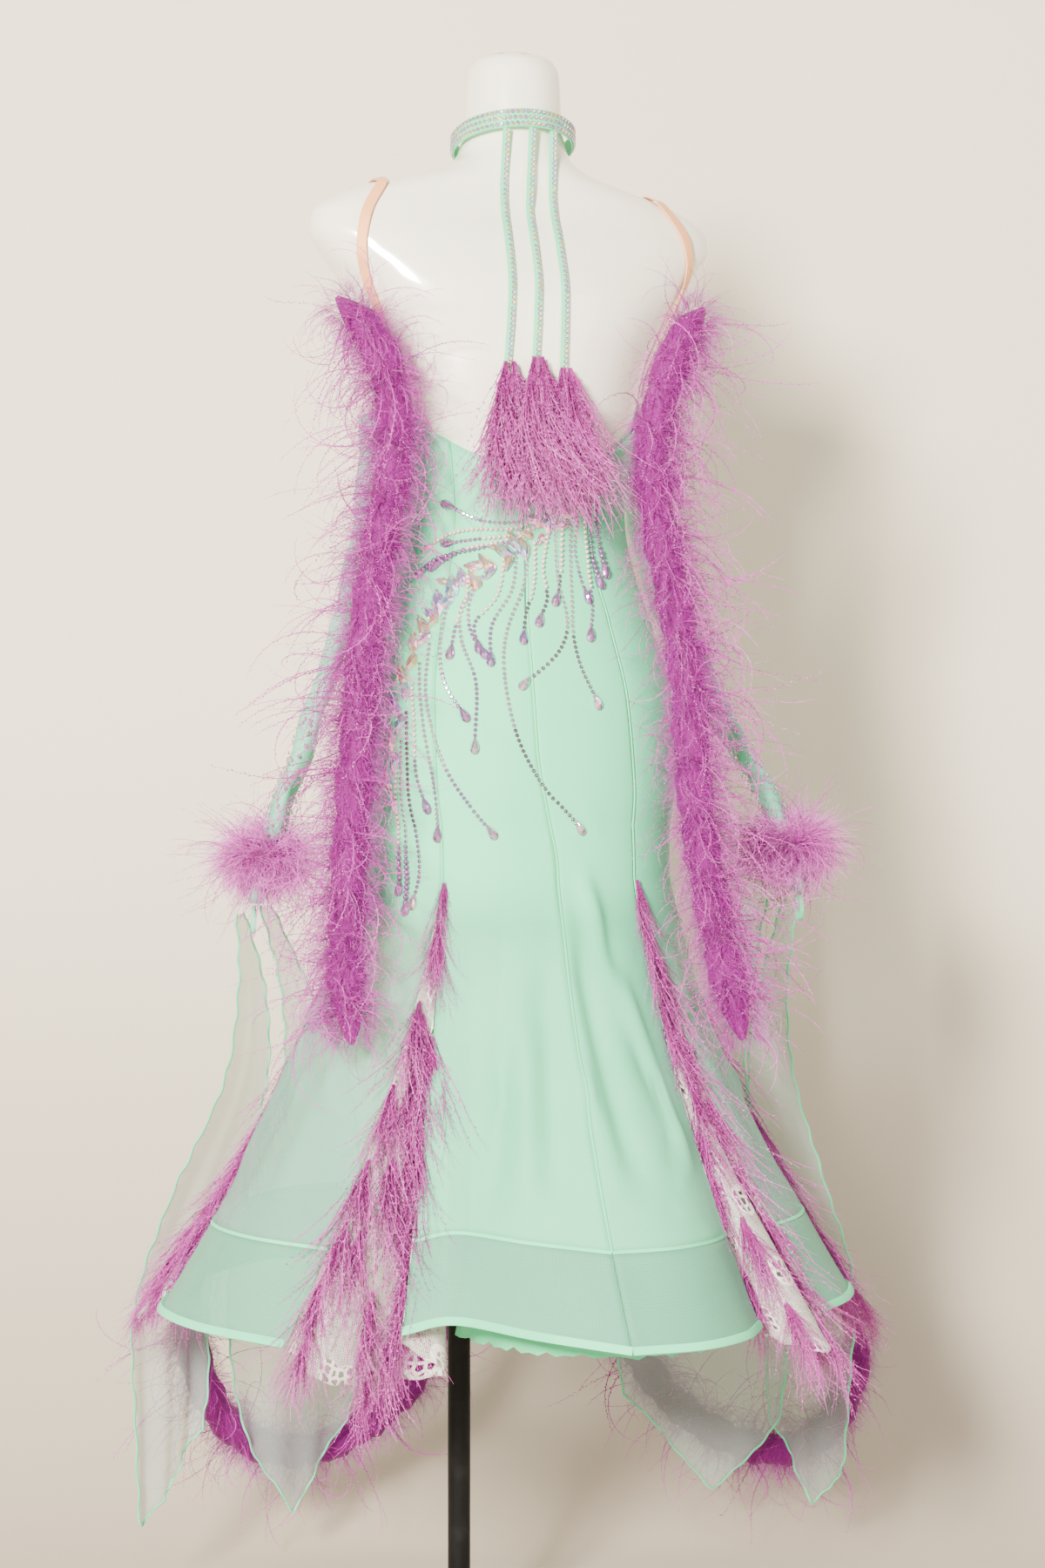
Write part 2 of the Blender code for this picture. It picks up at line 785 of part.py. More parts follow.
def make_tassel(name, x_end, end, parent):
    sides = 12
    rings = []
    for share, half_width, half_depth, shift in TASSEL_SECTIONS:
        height = between(end - 2 * SEAM_GAP - TRIM / 2, TASSEL_END, share)
        x = x_end + shift * TASSEL_SPREAD[name]
        depth, middle = form_depth(height, x, EASE + CLOTH + TASSEL_CLEAR + half_depth)
        ring = []
        for i in range(sides):
            a = 2 * math.pi * i / sides
            ring.append(
                Vector(
                    (
                        x + half_width * math.sin(a),
                        middle - depth - half_depth * math.cos(a),
                        height,
                    )
                )
            )
        rings.append(ring)
    solid_loft("tassel_" + name, rings, "feather", parent)


def shoulder_height(x):
    """Height of the top of the form's shoulder at this x."""
    tops = [row for row in FORM_SECTIONS if row[0] >= SHOULDER_WIDEST]
    for low, high in zip(tops, tops[1:]):
        if high[1] <= x <= low[1]:
            return between(low[0], high[0], (low[1] - x) / (low[1] - high[1]))
    return tops[0][0]


def form_normal(point):
    """The way out of the form at a point of its surface."""

    def outside(p):
        half_width, half_depth, middle, square = look_up(FORM_SECTIONS, p.z)
        return (abs(p.x) / half_width) ** square + (abs(p.y - middle) / half_depth) ** square

    step = 0.0005
    slopes = []
    for i in range(3):
        more, less = point.copy(), point.copy()
        more[i] += step
        less[i] -= step
        slopes.append(outside(more) - outside(less))
    return Vector(slopes).normalized()


def make_shoulder_strap(name, side, parent):
    """An elastic strap over the shoulder, close to the arm hole."""
    rows = []
    for height, middle_x, face in SHOULDER_STRAP:
        row = []
        for offset in (-SHOULDER_STRAP_WIDTH / 2, SHOULDER_STRAP_WIDTH / 2):
            x = middle_x + offset
            z = shoulder_height(x) if face == 0 else height
            depth, middle = form_depth(z, x)
            point = Vector((side * x, middle + face * depth, z))
            row.append(point + form_normal(point) * SHOULDER_STRAP_LIFT)
        rows.append(row)
    cloth("shoulder_strap_" + name, rows, "nude_elastic", parent, TRIM)


# ---------------------------------------------------------------- sleeves


def sleeve_rings(table, steps, grow=0.0):
    """Rings of a limp sleeve: its width runs from front to back, its depth sideways."""
    rings = []
    middles = [(x, y, height) for height, x, y, _, _ in table]
    for i in range(steps + 1):
        middle = through(middles, i / steps)
        sizes = sorted((height, width, depth) for height, _, _, width, depth in table)
        half_width, half_depth = look_up(sizes, middle.z)
        out = Vector((middle.x, middle.y, 0)).normalized()
        along = Vector((-out.y, out.x, 0))
        ring = []
        for j in range(SLEEVE_SIDES):
            a = 2 * math.pi * j / SLEEVE_SIDES
            ring.append(
                middle
                + along * (half_width + grow) * math.cos(a)
                + out * (half_depth + grow) * math.sin(a)
            )
        rings.append(ring)
    return rings


def make_sleeve(name, table, parent):
    rings = sleeve_rings(table, 12)
    cloth("sleeve_" + name, rings, "mint_cloth", parent, 0.0012, round_columns=True)


def make_cuff(name, table, parent):
    """The feather cuff: a soft ring round the sleeve, open where the sleeve goes through."""
    height, x, y, half_width, half_depth = table[-2]
    middle = Vector((x, y, height))
    out = Vector((x, y, 0)).normalized()
    along = Vector((-out.y, out.x, 0))
    fat = CUFF_THICKNESS / 2
    rows = []
    for i in range(18):
        a = 2 * math.pi * i / 18
        reach_along = half_width + fat * 0.85 + 0.004
        reach_out = half_depth + fat + 0.004
        spine = middle + along * reach_along * math.cos(a) + out * reach_out * math.sin(a)
        away = (spine - middle).normalized()
        ring = []
        for j in range(10):
            b = 2 * math.pi * j / 10
            ring.append(
                spine + away * fat * 0.85 * math.cos(b) + Vector((0, 0, fat * math.sin(b)))
            )
        rows.append(ring)
    data = grid_mesh("cuff_" + name, rows, round_columns=True, round_rows=True)
    bm = bmesh.new()
    bm.from_mesh(data)
    bmesh.ops.recalc_face_normals(bm, faces=bm.faces)
    bm.to_mesh(data)
    bm.free()
    data.shade_smooth()
    add("cuff_" + name, data, "feather", parent)


def make_finger_loop(name, table, parent):
    height, x, y, _, _ = table[-1]
    middle = Vector((x, y, height - LOOP_RADIUS * LOOP_STRETCH - LOOP_GAP))
    out = Vector((x, y, 0)).normalized()
    along = Vector((-out.y, out.x, 0))
    rows = []
    for i in range(16):
        a = 2 * math.pi * i / 16
        lift = Vector((0, 0, LOOP_RADIUS * LOOP_STRETCH * math.sin(a)))
        spine = middle + along * LOOP_RADIUS * math.cos(a) + lift
        rows.append([spine - out * 0.002, spine + out * 0.002])
    columns = [[row[side] for row in rows] for side in (0, 1)]
    cloth("finger_loop_" + name, columns, "mint_cloth", parent, 0.0010, round_columns=True)


# ---------------------------------------------------------------- boas and floats


def make_boa(name, points, steps, parent):
    line = [through(points, i / steps) for i in range(steps + 1)]
    radii = []
    for i in range(steps + 1):
        swell = 1 + 0.06 * math.sin(2.3 * i) + 0.04 * math.sin(5.1 * i)
        end = min(i, steps - i)
        radii.append(BOA_RADIUS * swell * (0.5 if end == 0 else 1))
    tube(name, line, radii, "feather", parent)


def make_float(name, parent):
    """A sheer float: two edges that hang round the skirt, and a corner that hangs lower."""
    table = FLOATS[name]
    drop, tip = FLOAT_TIP[name]
    columns, steps = 5, 9
    edges = []
    for first in (0, 3):
        edges.append([polar(row[first + 1], row[first + 2], row[first]) for row in table])
    rows = []
    for i in range(steps + 1):
        share = i / steps
        left, right = through(edges[0], share), through(edges[1], share)
        row = []
        for j in range(columns + 1):
            u = j / columns
            flat = left.lerp(right, u)
            radius = between(left.xy.length, right.xy.length, u)
            radius += 0.004 * share * math.sin(2 * math.pi * 1.5 * u)
            plan = flat.xy.normalized() * radius
            point_of_corner = 1 - abs(u - tip) / max(tip, 1 - tip)
            row.append(Vector((*plan, flat.z - drop * share**3 * point_of_corner)))
        rows.append(row)
    cloth(name, rows, "chiffon", parent, 0.0010)


def main():
    clear_scene()
    bpy.context.scene.collection.children.link(part)
    axis = bpy.data.objects.new("form_axis", None)
    axis.location = (*FORM_AXIS, 0)
    part.objects.link(axis)

    make_stand()
    make_form(axis)
    for name, columns in PANEL_COLUMNS:
        make_panel(name, columns, "mint_cloth", axis)
        make_band(name, columns, axis)
    for name, angle, start, end, fold_gap in GODETS:
        make_godet(name, angle, fold_gap, axis)
        make_godet_feathers(name, angle, start, end, axis)
    make_underskirt(axis)
    make_collar(axis)
    for name, x_top, x_end, end in BACK_STRAPS:
        make_back_strap(name, x_top, x_end, end, axis)
        make_tassel(name, x_end, end, axis)
    for name, side, sleeve in (("left", -1, SLEEVE_LEFT), ("right", 1, SLEEVE_RIGHT)):
        make_shoulder_strap(name, side, axis)
        make_sleeve(name, sleeve, axis)
        make_cuff(name, sleeve, axis)
        make_finger_loop(name, sleeve, axis)
    make_boa("boa_left", BOA_LEFT, 18, axis)
    make_boa("boa_right", BOA_RIGHT, 18, axis)
    make_boa("garland_left", [polar(*row) for row in GARLAND_LEFT], 18, axis)
    make_boa("garland_right", [polar(*row) for row in GARLAND_RIGHT], 18, axis)
    for name in FLOATS:
        make_float(name, axis)


main()
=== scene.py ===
"""The looks of a backless ballroom dress on its glossy limbless form and stand.

Metres, +Z up. The wearer faces +Y, so the back of the dress faces -Y, and the
wearer's left is -X. The dress is worked out round the form's own axis, and every
finished mesh is then moved to that axis.
"""

import math

import bmesh
import bpy
import numpy as np
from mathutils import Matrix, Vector


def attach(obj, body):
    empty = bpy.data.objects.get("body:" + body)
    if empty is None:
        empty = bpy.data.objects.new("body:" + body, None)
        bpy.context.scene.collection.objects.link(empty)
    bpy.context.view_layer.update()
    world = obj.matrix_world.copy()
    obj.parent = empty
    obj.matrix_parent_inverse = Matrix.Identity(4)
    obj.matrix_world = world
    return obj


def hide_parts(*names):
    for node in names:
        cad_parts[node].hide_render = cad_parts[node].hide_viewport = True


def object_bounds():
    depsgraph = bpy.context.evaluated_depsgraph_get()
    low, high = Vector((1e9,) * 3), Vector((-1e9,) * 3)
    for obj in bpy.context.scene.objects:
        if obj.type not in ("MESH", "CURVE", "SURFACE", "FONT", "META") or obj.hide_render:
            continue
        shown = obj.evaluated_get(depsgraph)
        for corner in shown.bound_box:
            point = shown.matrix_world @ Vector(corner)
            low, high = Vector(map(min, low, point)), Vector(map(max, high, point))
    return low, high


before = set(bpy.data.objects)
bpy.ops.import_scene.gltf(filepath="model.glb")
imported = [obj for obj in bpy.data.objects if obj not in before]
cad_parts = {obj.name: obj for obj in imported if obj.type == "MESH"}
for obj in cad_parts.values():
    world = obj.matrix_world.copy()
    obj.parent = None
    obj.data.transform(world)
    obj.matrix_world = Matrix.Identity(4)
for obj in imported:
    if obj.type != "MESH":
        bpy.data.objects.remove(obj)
cad_low, cad_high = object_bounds()

# ---------------------------------------------------------------- sizes

AXIS = Vector((0.054, -0.020, 0.0))  # the form's axis, from the middle of the stand's foot
SEAM_GAP = 0.0003

# The stand
POLE_RADIUS = 0.012
BASE_RADIUS = 0.200
BASE_HEIGHT = 0.016
SOCKET_RADIUS = 0.024
SOCKET_TOP = 0.075

# The form: height, half width, half depth, middle's y, squareness of the section
FORM_SECTIONS = (
    (0.858, 0.120, 0.082, 0.000, 2.0),
    (0.860, 0.146, 0.102, 0.000, 2.1),
    (0.868, 0.158, 0.112, 0.000, 2.2),
    (0.884, 0.166, 0.118, 0.000, 2.2),
    (0.930, 0.172, 0.122, 0.000, 2.2),
    (1.010, 0.169, 0.120, 0.000, 2.2),
    (1.100, 0.146, 0.105, 0.002, 2.2),
    (1.150, 0.130, 0.095, 0.004, 2.1),
    (1.210, 0.119, 0.088, 0.006, 2.1),
    (1.270, 0.126, 0.095, 0.010, 2.1),
    (1.325, 0.138, 0.108, 0.014, 2.2),
    (1.370, 0.148, 0.111, 0.014, 2.2),
    (1.410, 0.164, 0.104, 0.006, 2.3),
    (1.450, 0.186, 0.094, 0.000, 2.3),
    (1.480, 0.210, 0.082, 0.000, 2.3),
    (1.505, 0.225, 0.070, 0.000, 2.3),
    (1.522, 0.223, 0.061, 0.000, 2.3),
    (1.545, 0.194, 0.054, 0.000, 2.2),
    (1.560, 0.148, 0.053, 0.000, 2.1),
    (1.576, 0.090, 0.054, 0.000, 2.0),
    (1.594, 0.062, 0.053, 0.000, 2.0),
    (1.625, 0.053, 0.050, 0.000, 2.0),
    (1.680, 0.050, 0.048, 0.000, 2.0),
    (1.695, 0.044, 0.042, 0.000, 2.0),
    (1.702, 0.030, 0.028, 0.000, 2.0),
)
FORM_SIDES = 96

# The fitted part of the dress
EASE = 0.0048  # from the form to the middle of the cloth
CLOTH = 0.0010  # thickness of the shown cloth
HIP_SECTION = 0.884  # height of the form's section that the skirt hangs from
HIP_HEIGHT = 0.830  # where the godets start
BAND_SEAM = 0.80  # share of the skirt's length at which the hem band is sewn on

# Top edge of the bodice: angle from the centre back, height
TOP_EDGE = (
    (0, 1.262),
    (25, 1.266),
    (50, 1.290),
    (75, 1.324),
    (90, 1.342),
    (115, 1.352),
    (145, 1.378),
    (160, 1.384),
    (180, 1.368),
)

# Seams: height, angles of the left back, centre back and right back seams
BACK_SEAMS = (
    (0.800, -39.0, 1.0, 32.0),
    (0.830, -39.0, 1.0, 32.0),
    (0.960, -41.0, -5.0, 29.0),
    (1.140, -44.0, -7.5, 25.0),
    (1.400, -43.0, -8.0, 27.0),
)
FRONT_SEAMS = (-112.0, 93.0)

# Plan of the hem round the form's axis, from the left side of each piece: x, y, height
HEM = {
    "back_left": (
        (-0.178, -0.168, 0.381),
        (-0.130, -0.190, 0.392),
        (-0.070, -0.262, 0.386),
        (0.003, -0.329, 0.379),
    ),
    "back_right": (
        (0.003, -0.329, 0.379),
        (0.075, -0.332, 0.380),
        (0.135, -0.300, 0.380),
        (0.178, -0.241, 0.378),
    ),
    "side_left": (
        (-0.347, 0.126, 0.378),
        (-0.375, 0.030, 0.380),
        (-0.360, -0.072, 0.380),
        (-0.300, -0.176, 0.378),
    ),
    "side_right": (
        (0.277, -0.184, 0.378),
        (0.322, -0.146, 0.380),
        (0.352, -0.098, 0.381),
        (0.368, -0.040, 0.378),
    ),
    "front": (
        (0.350, 0.112, 0.378),
        (0.272, 0.228, 0.381),
        (0.200, 0.300, 0.380),
        (0.095, 0.318, 0.379),
        (0.010, 0.352, 0.380),
        (-0.100, 0.330, 0.379),
        (-0.200, 0.302, 0.381),
        (-0.290, 0.232, 0.378),
    ),
    "godet_rear_left": (
        (-0.300, -0.176, 0.378),
        (-0.268, -0.180, 0.345),
        (-0.222, -0.162, 0.331),
        (-0.172, -0.144, 0.330),
        (-0.128, -0.146, 0.331),
        (-0.140, -0.160, 0.345),
        (-0.172, -0.156, 0.368),
        (-0.178, -0.168, 0.381),
    ),
    "godet_rear_right": (
        (0.178, -0.241, 0.378),
        (0.196, -0.222, 0.362),
        (0.232, -0.262, 0.352),
        (0.262, -0.228, 0.350),
        (0.252, -0.192, 0.358),
        (0.277, -0.184, 0.378),
    ),
    "godet_front_right": (
        (0.368, -0.040, 0.378),
        (0.404, -0.006, 0.352),
        (0.400, 0.048, 0.346),
        (0.354, 0.064, 0.354),
        (0.350, 0.112, 0.378),
    ),
    "godet_front_left": (
        (-0.290, 0.232, 0.378),
        (-0.308, 0.196, 0.354),
        (-0.356, 0.205, 0.346),
        (-0.372, 0.158, 0.352),
        (-0.347, 0.126, 0.378),
    ),
}
PANELS = ("back_left", "back_right", "side_left", "side_right", "front")

# Godets: name, angle of the apex, gap at a sharp fold
GODETS = (
    ("godet_rear_left", BACK_SEAMS[0][1], 0.0022),
    ("godet_rear_right", BACK_SEAMS[0][3], 0.0012),
    ("godet_front_right", FRONT_SEAMS[1], 0.0012),
    ("godet_front_left", FRONT_SEAMS[0], 0.0012),
)
GODET_START = 0.08
FOLD_START = 0.22

# The underskirt is open at the wearer's left: x, y of its hem
UNDERSKIRT_HEM = (
    (-0.097, -0.092),
    (-0.070, -0.186),
    (0.012, -0.256),
    (0.115, -0.250),
    (0.196, -0.176),
    (0.240, -0.035),
    (0.205, 0.137),
    (0.082, 0.222),
    (-0.044, 0.226),
)
UNDERSKIRT_ANGLES = (-16.0, 200.0)
UNDERSKIRT_TOP = 0.848
UNDERSKIRT_HEM_HEIGHT = 0.362
UNDERSKIRT_EASE = 0.0012

# Creases in the cloth: angle and height of one end, of the other, half width, depth outwards
CREASES = (
    (14.0, 0.850, 25.0, 0.640, 0.011, 0.0095),
    (19.0, 0.800, 27.5, 0.560, 0.012, -0.0085),
    (23.0, 0.760, 30.0, 0.520, 0.010, 0.0080),
    (7.0, 0.790, 12.0, 0.500, 0.014, -0.0090),
    (3.5, 0.830, 5.0, 0.490, 0.012, 0.0060),
    (-15.0, 0.700, -17.0, 0.480, 0.015, 0.0090),
    (-22.0, 0.690, -26.0, 0.490, 0.014, -0.0070),
    (-8.0, 0.760, -8.0, 0.490, 0.015, -0.0080),
    (21.0, 0.520, 29.0, 0.545, 0.006, 0.0030),
    (17.0, 0.505, 27.0, 0.500, 0.005, 0.0028),
    (20.0, 0.540, 26.0, 0.580, 0.006, -0.0025),
    (-70.0, 0.760, -76.0, 0.480, 0.020, 0.0070),
    (-88.0, 0.740, -92.0, 0.480, 0.022, -0.0060),
    (-100.0, 0.720, -104.0, 0.500, 0.018, 0.0060),
    (52.0, 0.780, 58.0, 0.490, 0.020, 0.0060),
    (74.0, 0.750, 76.0, 0.480, 0.022, -0.0060),
    (94.0, 0.740, 97.0, 0.500, 0.019, 0.0060),
    (132.0, 0.760, 136.0, 0.470, 0.022, 0.0060),
    (155.0, 0.740, 157.0, 0.480, 0.024, -0.0060),
    (183.0, 0.760, 180.0, 0.480, 0.020, 0.0070),
    (207.0, 0.750, 206.0, 0.480, 0.023, -0.0050),
    (228.0, 0.730, 226.0, 0.490, 0.019, 0.0060),
    (-30.0, 1.190, -20.0, 1.150, 0.006, 0.0010),
    (8.0, 1.215, 20.0, 1.185, 0.006, 0.0011),
    (60.0, 1.225, 78.0, 1.195, 0.007, 0.0012),
    (-64.0, 1.215, -80.0, 1.180, 0.007, 0.0012),
    (12.0, 0.905, 27.0, 0.880, 0.007, 0.0012),
)

# Collar and the three straps that hang from it
COLLAR_HALF_WIDTH = 0.0640
COLLAR_HALF_DEPTH = 0.0610
COLLAR_HEIGHT = 0.019
COLLAR_MIDDLE = 1.612
COLLAR_SLOPE = 0.21
# Back straps: name, x at the collar, x at the end, height of the end
BACK_STRAPS = (
    ("left", -0.027, -0.041, 1.356),
    ("middle", 0.000, -0.011, 1.362),
    ("right", 0.025, 0.020, 1.352),
)
BACK_STRAP_WIDTH = 0.008
TRIM = 0.0012
# How far each tassel's feathers swing to the wearer's right on the way down
TASSEL_SWING = {"left": -0.010, "middle": 0.006, "right": 0.030}

# Elastic shoulder straps: height, distance from the middle, +1 in front or -1 at the back
SHOULDER_STRAP_WIDTH = 0.011
SHOULDER_STRAP_LIFT = 0.0034
SHOULDER_STRAP = (
    (1.345, 0.1395, -1),
    (1.370, 0.1440, -1),
    (1.410, 0.1560, -1),
    (1.450, 0.1740, -1),
    (1.480, 0.1820, -1),
    (1.505, 0.1800, -1),
    (1.522, 0.1740, -1),
    (1.538, 0.1640, -1),
    (1.546, 0.1580, -1),
    (1.552, 0.1540, -1),
    (None, 0.1520, 0),
    (1.552, 0.1530, 1),
    (1.546, 0.1550, 1),
    (1.538, 0.1580, 1),
    (1.522, 0.1600, 1),
    (1.505, 0.1600, 1),
    (1.480, 0.1560, 1),
    (1.450, 0.1450, 1),
    (1.410, 0.1260, 1),
    (1.390, 0.1130, 1),
)

# Sleeves: height, x, y of the middle, half width, half depth
SLEEVES = {
    "right": (
        (1.315, 0.1545, 0.015, 0.030, 0.0090),
        (1.240, 0.1560, 0.018, 0.034, 0.0110),
        (1.150, 0.1720, 0.010, 0.033, 0.0110),
        (1.060, 0.2080, -0.006, 0.031, 0.0110),
        (0.980, 0.2450, -0.026, 0.029, 0.0110),
        (0.910, 0.2790, -0.044, 0.026, 0.0110),
        (0.860, 0.2980, -0.055, 0.023, 0.0100),
        (0.812, 0.3080, -0.062, 0.014, 0.0070),
    ),
    "left": (
        (1.315, -0.1545, 0.015, 0.030, 0.0090),
        (1.240, -0.1560, 0.018, 0.034, 0.0110),
        (1.150, -0.1680, 0.026, 0.033, 0.0110),
        (1.060, -0.1900, 0.038, 0.031, 0.0110),
        (0.980, -0.2120, 0.054, 0.029, 0.0110),
        (0.910, -0.2330, 0.072, 0.026, 0.0110),
        (0.848, -0.2490, 0.088, 0.023, 0.0100),
        (0.800, -0.2600, 0.096, 0.014, 0.0070),
    ),
}
SLEEVE_SIDES = 40
LOOP_RADIUS = 0.011

# Feather boas: x, y, height of the core
BOAS = {
    "boa_left": (
        (-0.212, -0.056, 1.425),
        (-0.178, -0.082, 1.377),
        (-0.156, -0.076, 1.305),
        (-0.160, -0.077, 1.233),
        (-0.175, -0.078, 1.161),
        (-0.191, -0.082, 1.053),
        (-0.203, -0.088, 0.927),
        (-0.214, -0.098, 0.794),
        (-0.219, -0.110, 0.733),
        (-0.220, -0.135, 0.668),
    ),
    "boa_right": (
        (0.176, -0.104, 1.428),
        (0.146, -0.113, 1.390),
        (0.120, -0.112, 1.315),
        (0.115, -0.109, 1.260),
        (0.124, -0.107, 1.196),
        (0.148, -0.119, 1.053),
        (0.154, -0.133, 0.909),
        (0.170, -0.149, 0.783),
        (0.184, -0.186, 0.664),
    ),
}
# Boas that edge the floats: angle from the centre back, distance from the form's axis, height
GARLANDS = {
    "garland_left": (
        (-142, 0.452, 0.330),
        (-147, 0.446, 0.220),
        (-155, 0.445, 0.155),
        (-165, 0.440, 0.130),
        (-175, 0.435, 0.150),
        (-184, 0.430, 0.210),
        (-189, 0.425, 0.310),
        (-190, 0.420, 0.400),
    ),
    "garland_right": (
        (104, 0.486, 0.300),
        (106, 0.486, 0.225),
        (111, 0.486, 0.162),
        (119, 0.484, 0.130),
        (129, 0.474, 0.142),
        (138, 0.462, 0.200),
        (144, 0.452, 0.300),
        (146, 0.448, 0.400),
    ),
}

# Floats: rows of height, angle and radius of one edge, then height, angle and radius of the other
FLOATS = {
    "float_left_outer": (
        (0.788, -108, 0.294, 0.788, -115, 0.290),
        (0.700, -116, 0.298, 0.700, -128, 0.286),
        (0.600, -120, 0.320, 0.600, -136, 0.304),
        (0.480, -123, 0.384, 0.480, -140, 0.354),
        (0.360, -125, 0.434, 0.360, -141, 0.404),
        (0.240, -127, 0.440, 0.250, -141, 0.408),
        (0.150, -128, 0.440, 0.190, -140, 0.412),
    ),
    "float_left_inner": (
        (0.795, -118, 0.276, 0.795, -124, 0.272),
        (0.700, -131, 0.274, 0.700, -142, 0.268),
        (0.600, -139, 0.294, 0.600, -158, 0.284),
        (0.480, -143, 0.346, 0.480, -168, 0.338),
        (0.360, -144, 0.392, 0.360, -171, 0.388),
        (0.250, -146, 0.400, 0.250, -172, 0.394),
        (0.180, -149, 0.402, 0.170, -170, 0.398),
    ),
    "float_right_outer": (
        (0.800, 84, 0.322, 0.800, 90, 0.318),
        (0.700, 88, 0.318, 0.700, 98, 0.312),
        (0.600, 93, 0.340, 0.600, 106, 0.330),
        (0.480, 97, 0.394, 0.480, 113, 0.386),
        (0.360, 100, 0.451, 0.360, 117, 0.450),
        (0.240, 101, 0.452, 0.240, 118, 0.451),
        (0.160, 102, 0.452, 0.170, 117, 0.450),
    ),
    "float_right_inner": (
        (0.800, 92, 0.304, 0.800, 98, 0.300),
        (0.700, 97, 0.298, 0.700, 110, 0.292),
        (0.600, 104, 0.316, 0.600, 123, 0.306),
        (0.480, 109, 0.370, 0.480, 134, 0.352),
        (0.360, 112, 0.438, 0.360, 140, 0.412),
        (0.250, 113, 0.438, 0.250, 142, 0.412),
        (0.200, 114, 0.436, 0.190, 141, 0.414),
    ),
}
# Float corner: how far it hangs below the two edges, and where across the width
FLOAT_TIP = {
    "float_left_outer": (0.060, 0.15),
    "float_left_inner": (0.105, 0.50),
    "float_right_outer": (0.080, 0.45),
    "float_right_inner": (0.112, 0.45),
}

# Feather bunches on the godets: share across, share down, length
BUNCHES = {
    "godet_rear_left": (
        (0.50, -0.08, 0.080),
        (0.40, 0.00, 0.085),
        (0.65, 0.03, 0.085),
        (0.05, 0.20, 0.110),
        (0.28, 0.21, 0.125),
        (0.96, 0.29, 0.130),
        (0.55, 0.30, 0.120),
        (0.02, 0.40, 0.120),
        (0.32, 0.35, 0.120),
        (0.50, 0.44, 0.125),
        (0.03, 0.57, 0.130),
        (0.25, 0.52, 0.130),
        (0.97, 0.50, 0.140),
        (0.46, 0.60, 0.125),
        (0.92, 0.64, 0.135),
        (0.03, 0.71, 0.115),
        (0.14, 0.69, 0.115),
        (0.50, 0.74, 0.120),
        (0.96, 0.78, 0.130),
        (0.30, 0.80, 0.120),
        (0.02, 0.85, 0.115),
        (0.45, 0.87, 0.110),
        (0.96, 0.90, 0.105),
        (0.06, 0.96, 0.075),
        (0.38, 0.96, 0.080),
    ),
    "godet_rear_right": (
        (0.50, -0.08, 0.080),
        (0.50, 0.00, 0.085),
        (0.10, 0.03, 0.105),
        (0.95, 0.10, 0.115),
        (0.06, 0.21, 0.120),
        (0.60, 0.20, 0.110),
        (0.90, 0.29, 0.125),
        (0.43, 0.38, 0.125),
        (0.95, 0.46, 0.125),
        (0.25, 0.50, 0.115),
        (0.92, 0.61, 0.125),
        (0.12, 0.62, 0.110),
        (0.36, 0.70, 0.120),
        (0.96, 0.73, 0.125),
        (0.94, 0.86, 0.115),
        (0.38, 0.89, 0.100),
        (0.62, 0.92, 0.095),
        (0.10, 0.85, 0.100),
        (0.80, 0.97, 0.075),
    ),
    "godet_front_left": (
        (0.50, -0.08, 0.080),
        (0.95, 0.20, 0.100),
        (0.95, 0.35, 0.125),
        (0.90, 0.45, 0.125),
        (0.60, 0.48, 0.120),
        (0.80, 0.51, 0.130),
        (0.95, 0.59, 0.125),
        (0.50, 0.60, 0.125),
        (0.75, 0.62, 0.130),
        (0.60, 0.71, 0.130),
        (0.85, 0.72, 0.120),
        (0.40, 0.76, 0.120),
        (0.55, 0.80, 0.120),
        (0.95, 0.80, 0.115),
        (0.75, 0.82, 0.120),
        (0.60, 0.88, 0.110),
        (0.85, 0.92, 0.100),
        (0.20, 0.88, 0.105),
        (0.50, 0.96, 0.085),
        (0.70, 0.97, 0.080),
    ),
    "godet_front_right": (
        (0.50, -0.08, 0.080),
        (0.05, 0.20, 0.100),
        (0.05, 0.35, 0.125),
        (0.10, 0.45, 0.125),
        (0.30, 0.48, 0.120),
        (0.05, 0.52, 0.130),
        (0.05, 0.60, 0.130),
        (0.22, 0.62, 0.130),
        (0.45, 0.62, 0.120),
        (0.10, 0.71, 0.130),
        (0.32, 0.74, 0.125),
        (0.05, 0.80, 0.120),
        (0.20, 0.82, 0.120),
        (0.48, 0.83, 0.120),
        (0.10, 0.90, 0.110),
        (0.32, 0.92, 0.100),
        (0.65, 0.88, 0.110),
        (0.45, 0.96, 0.085),
        (0.18, 0.97, 0.080),
        (0.85, 0.90, 0.100),
    ),
}

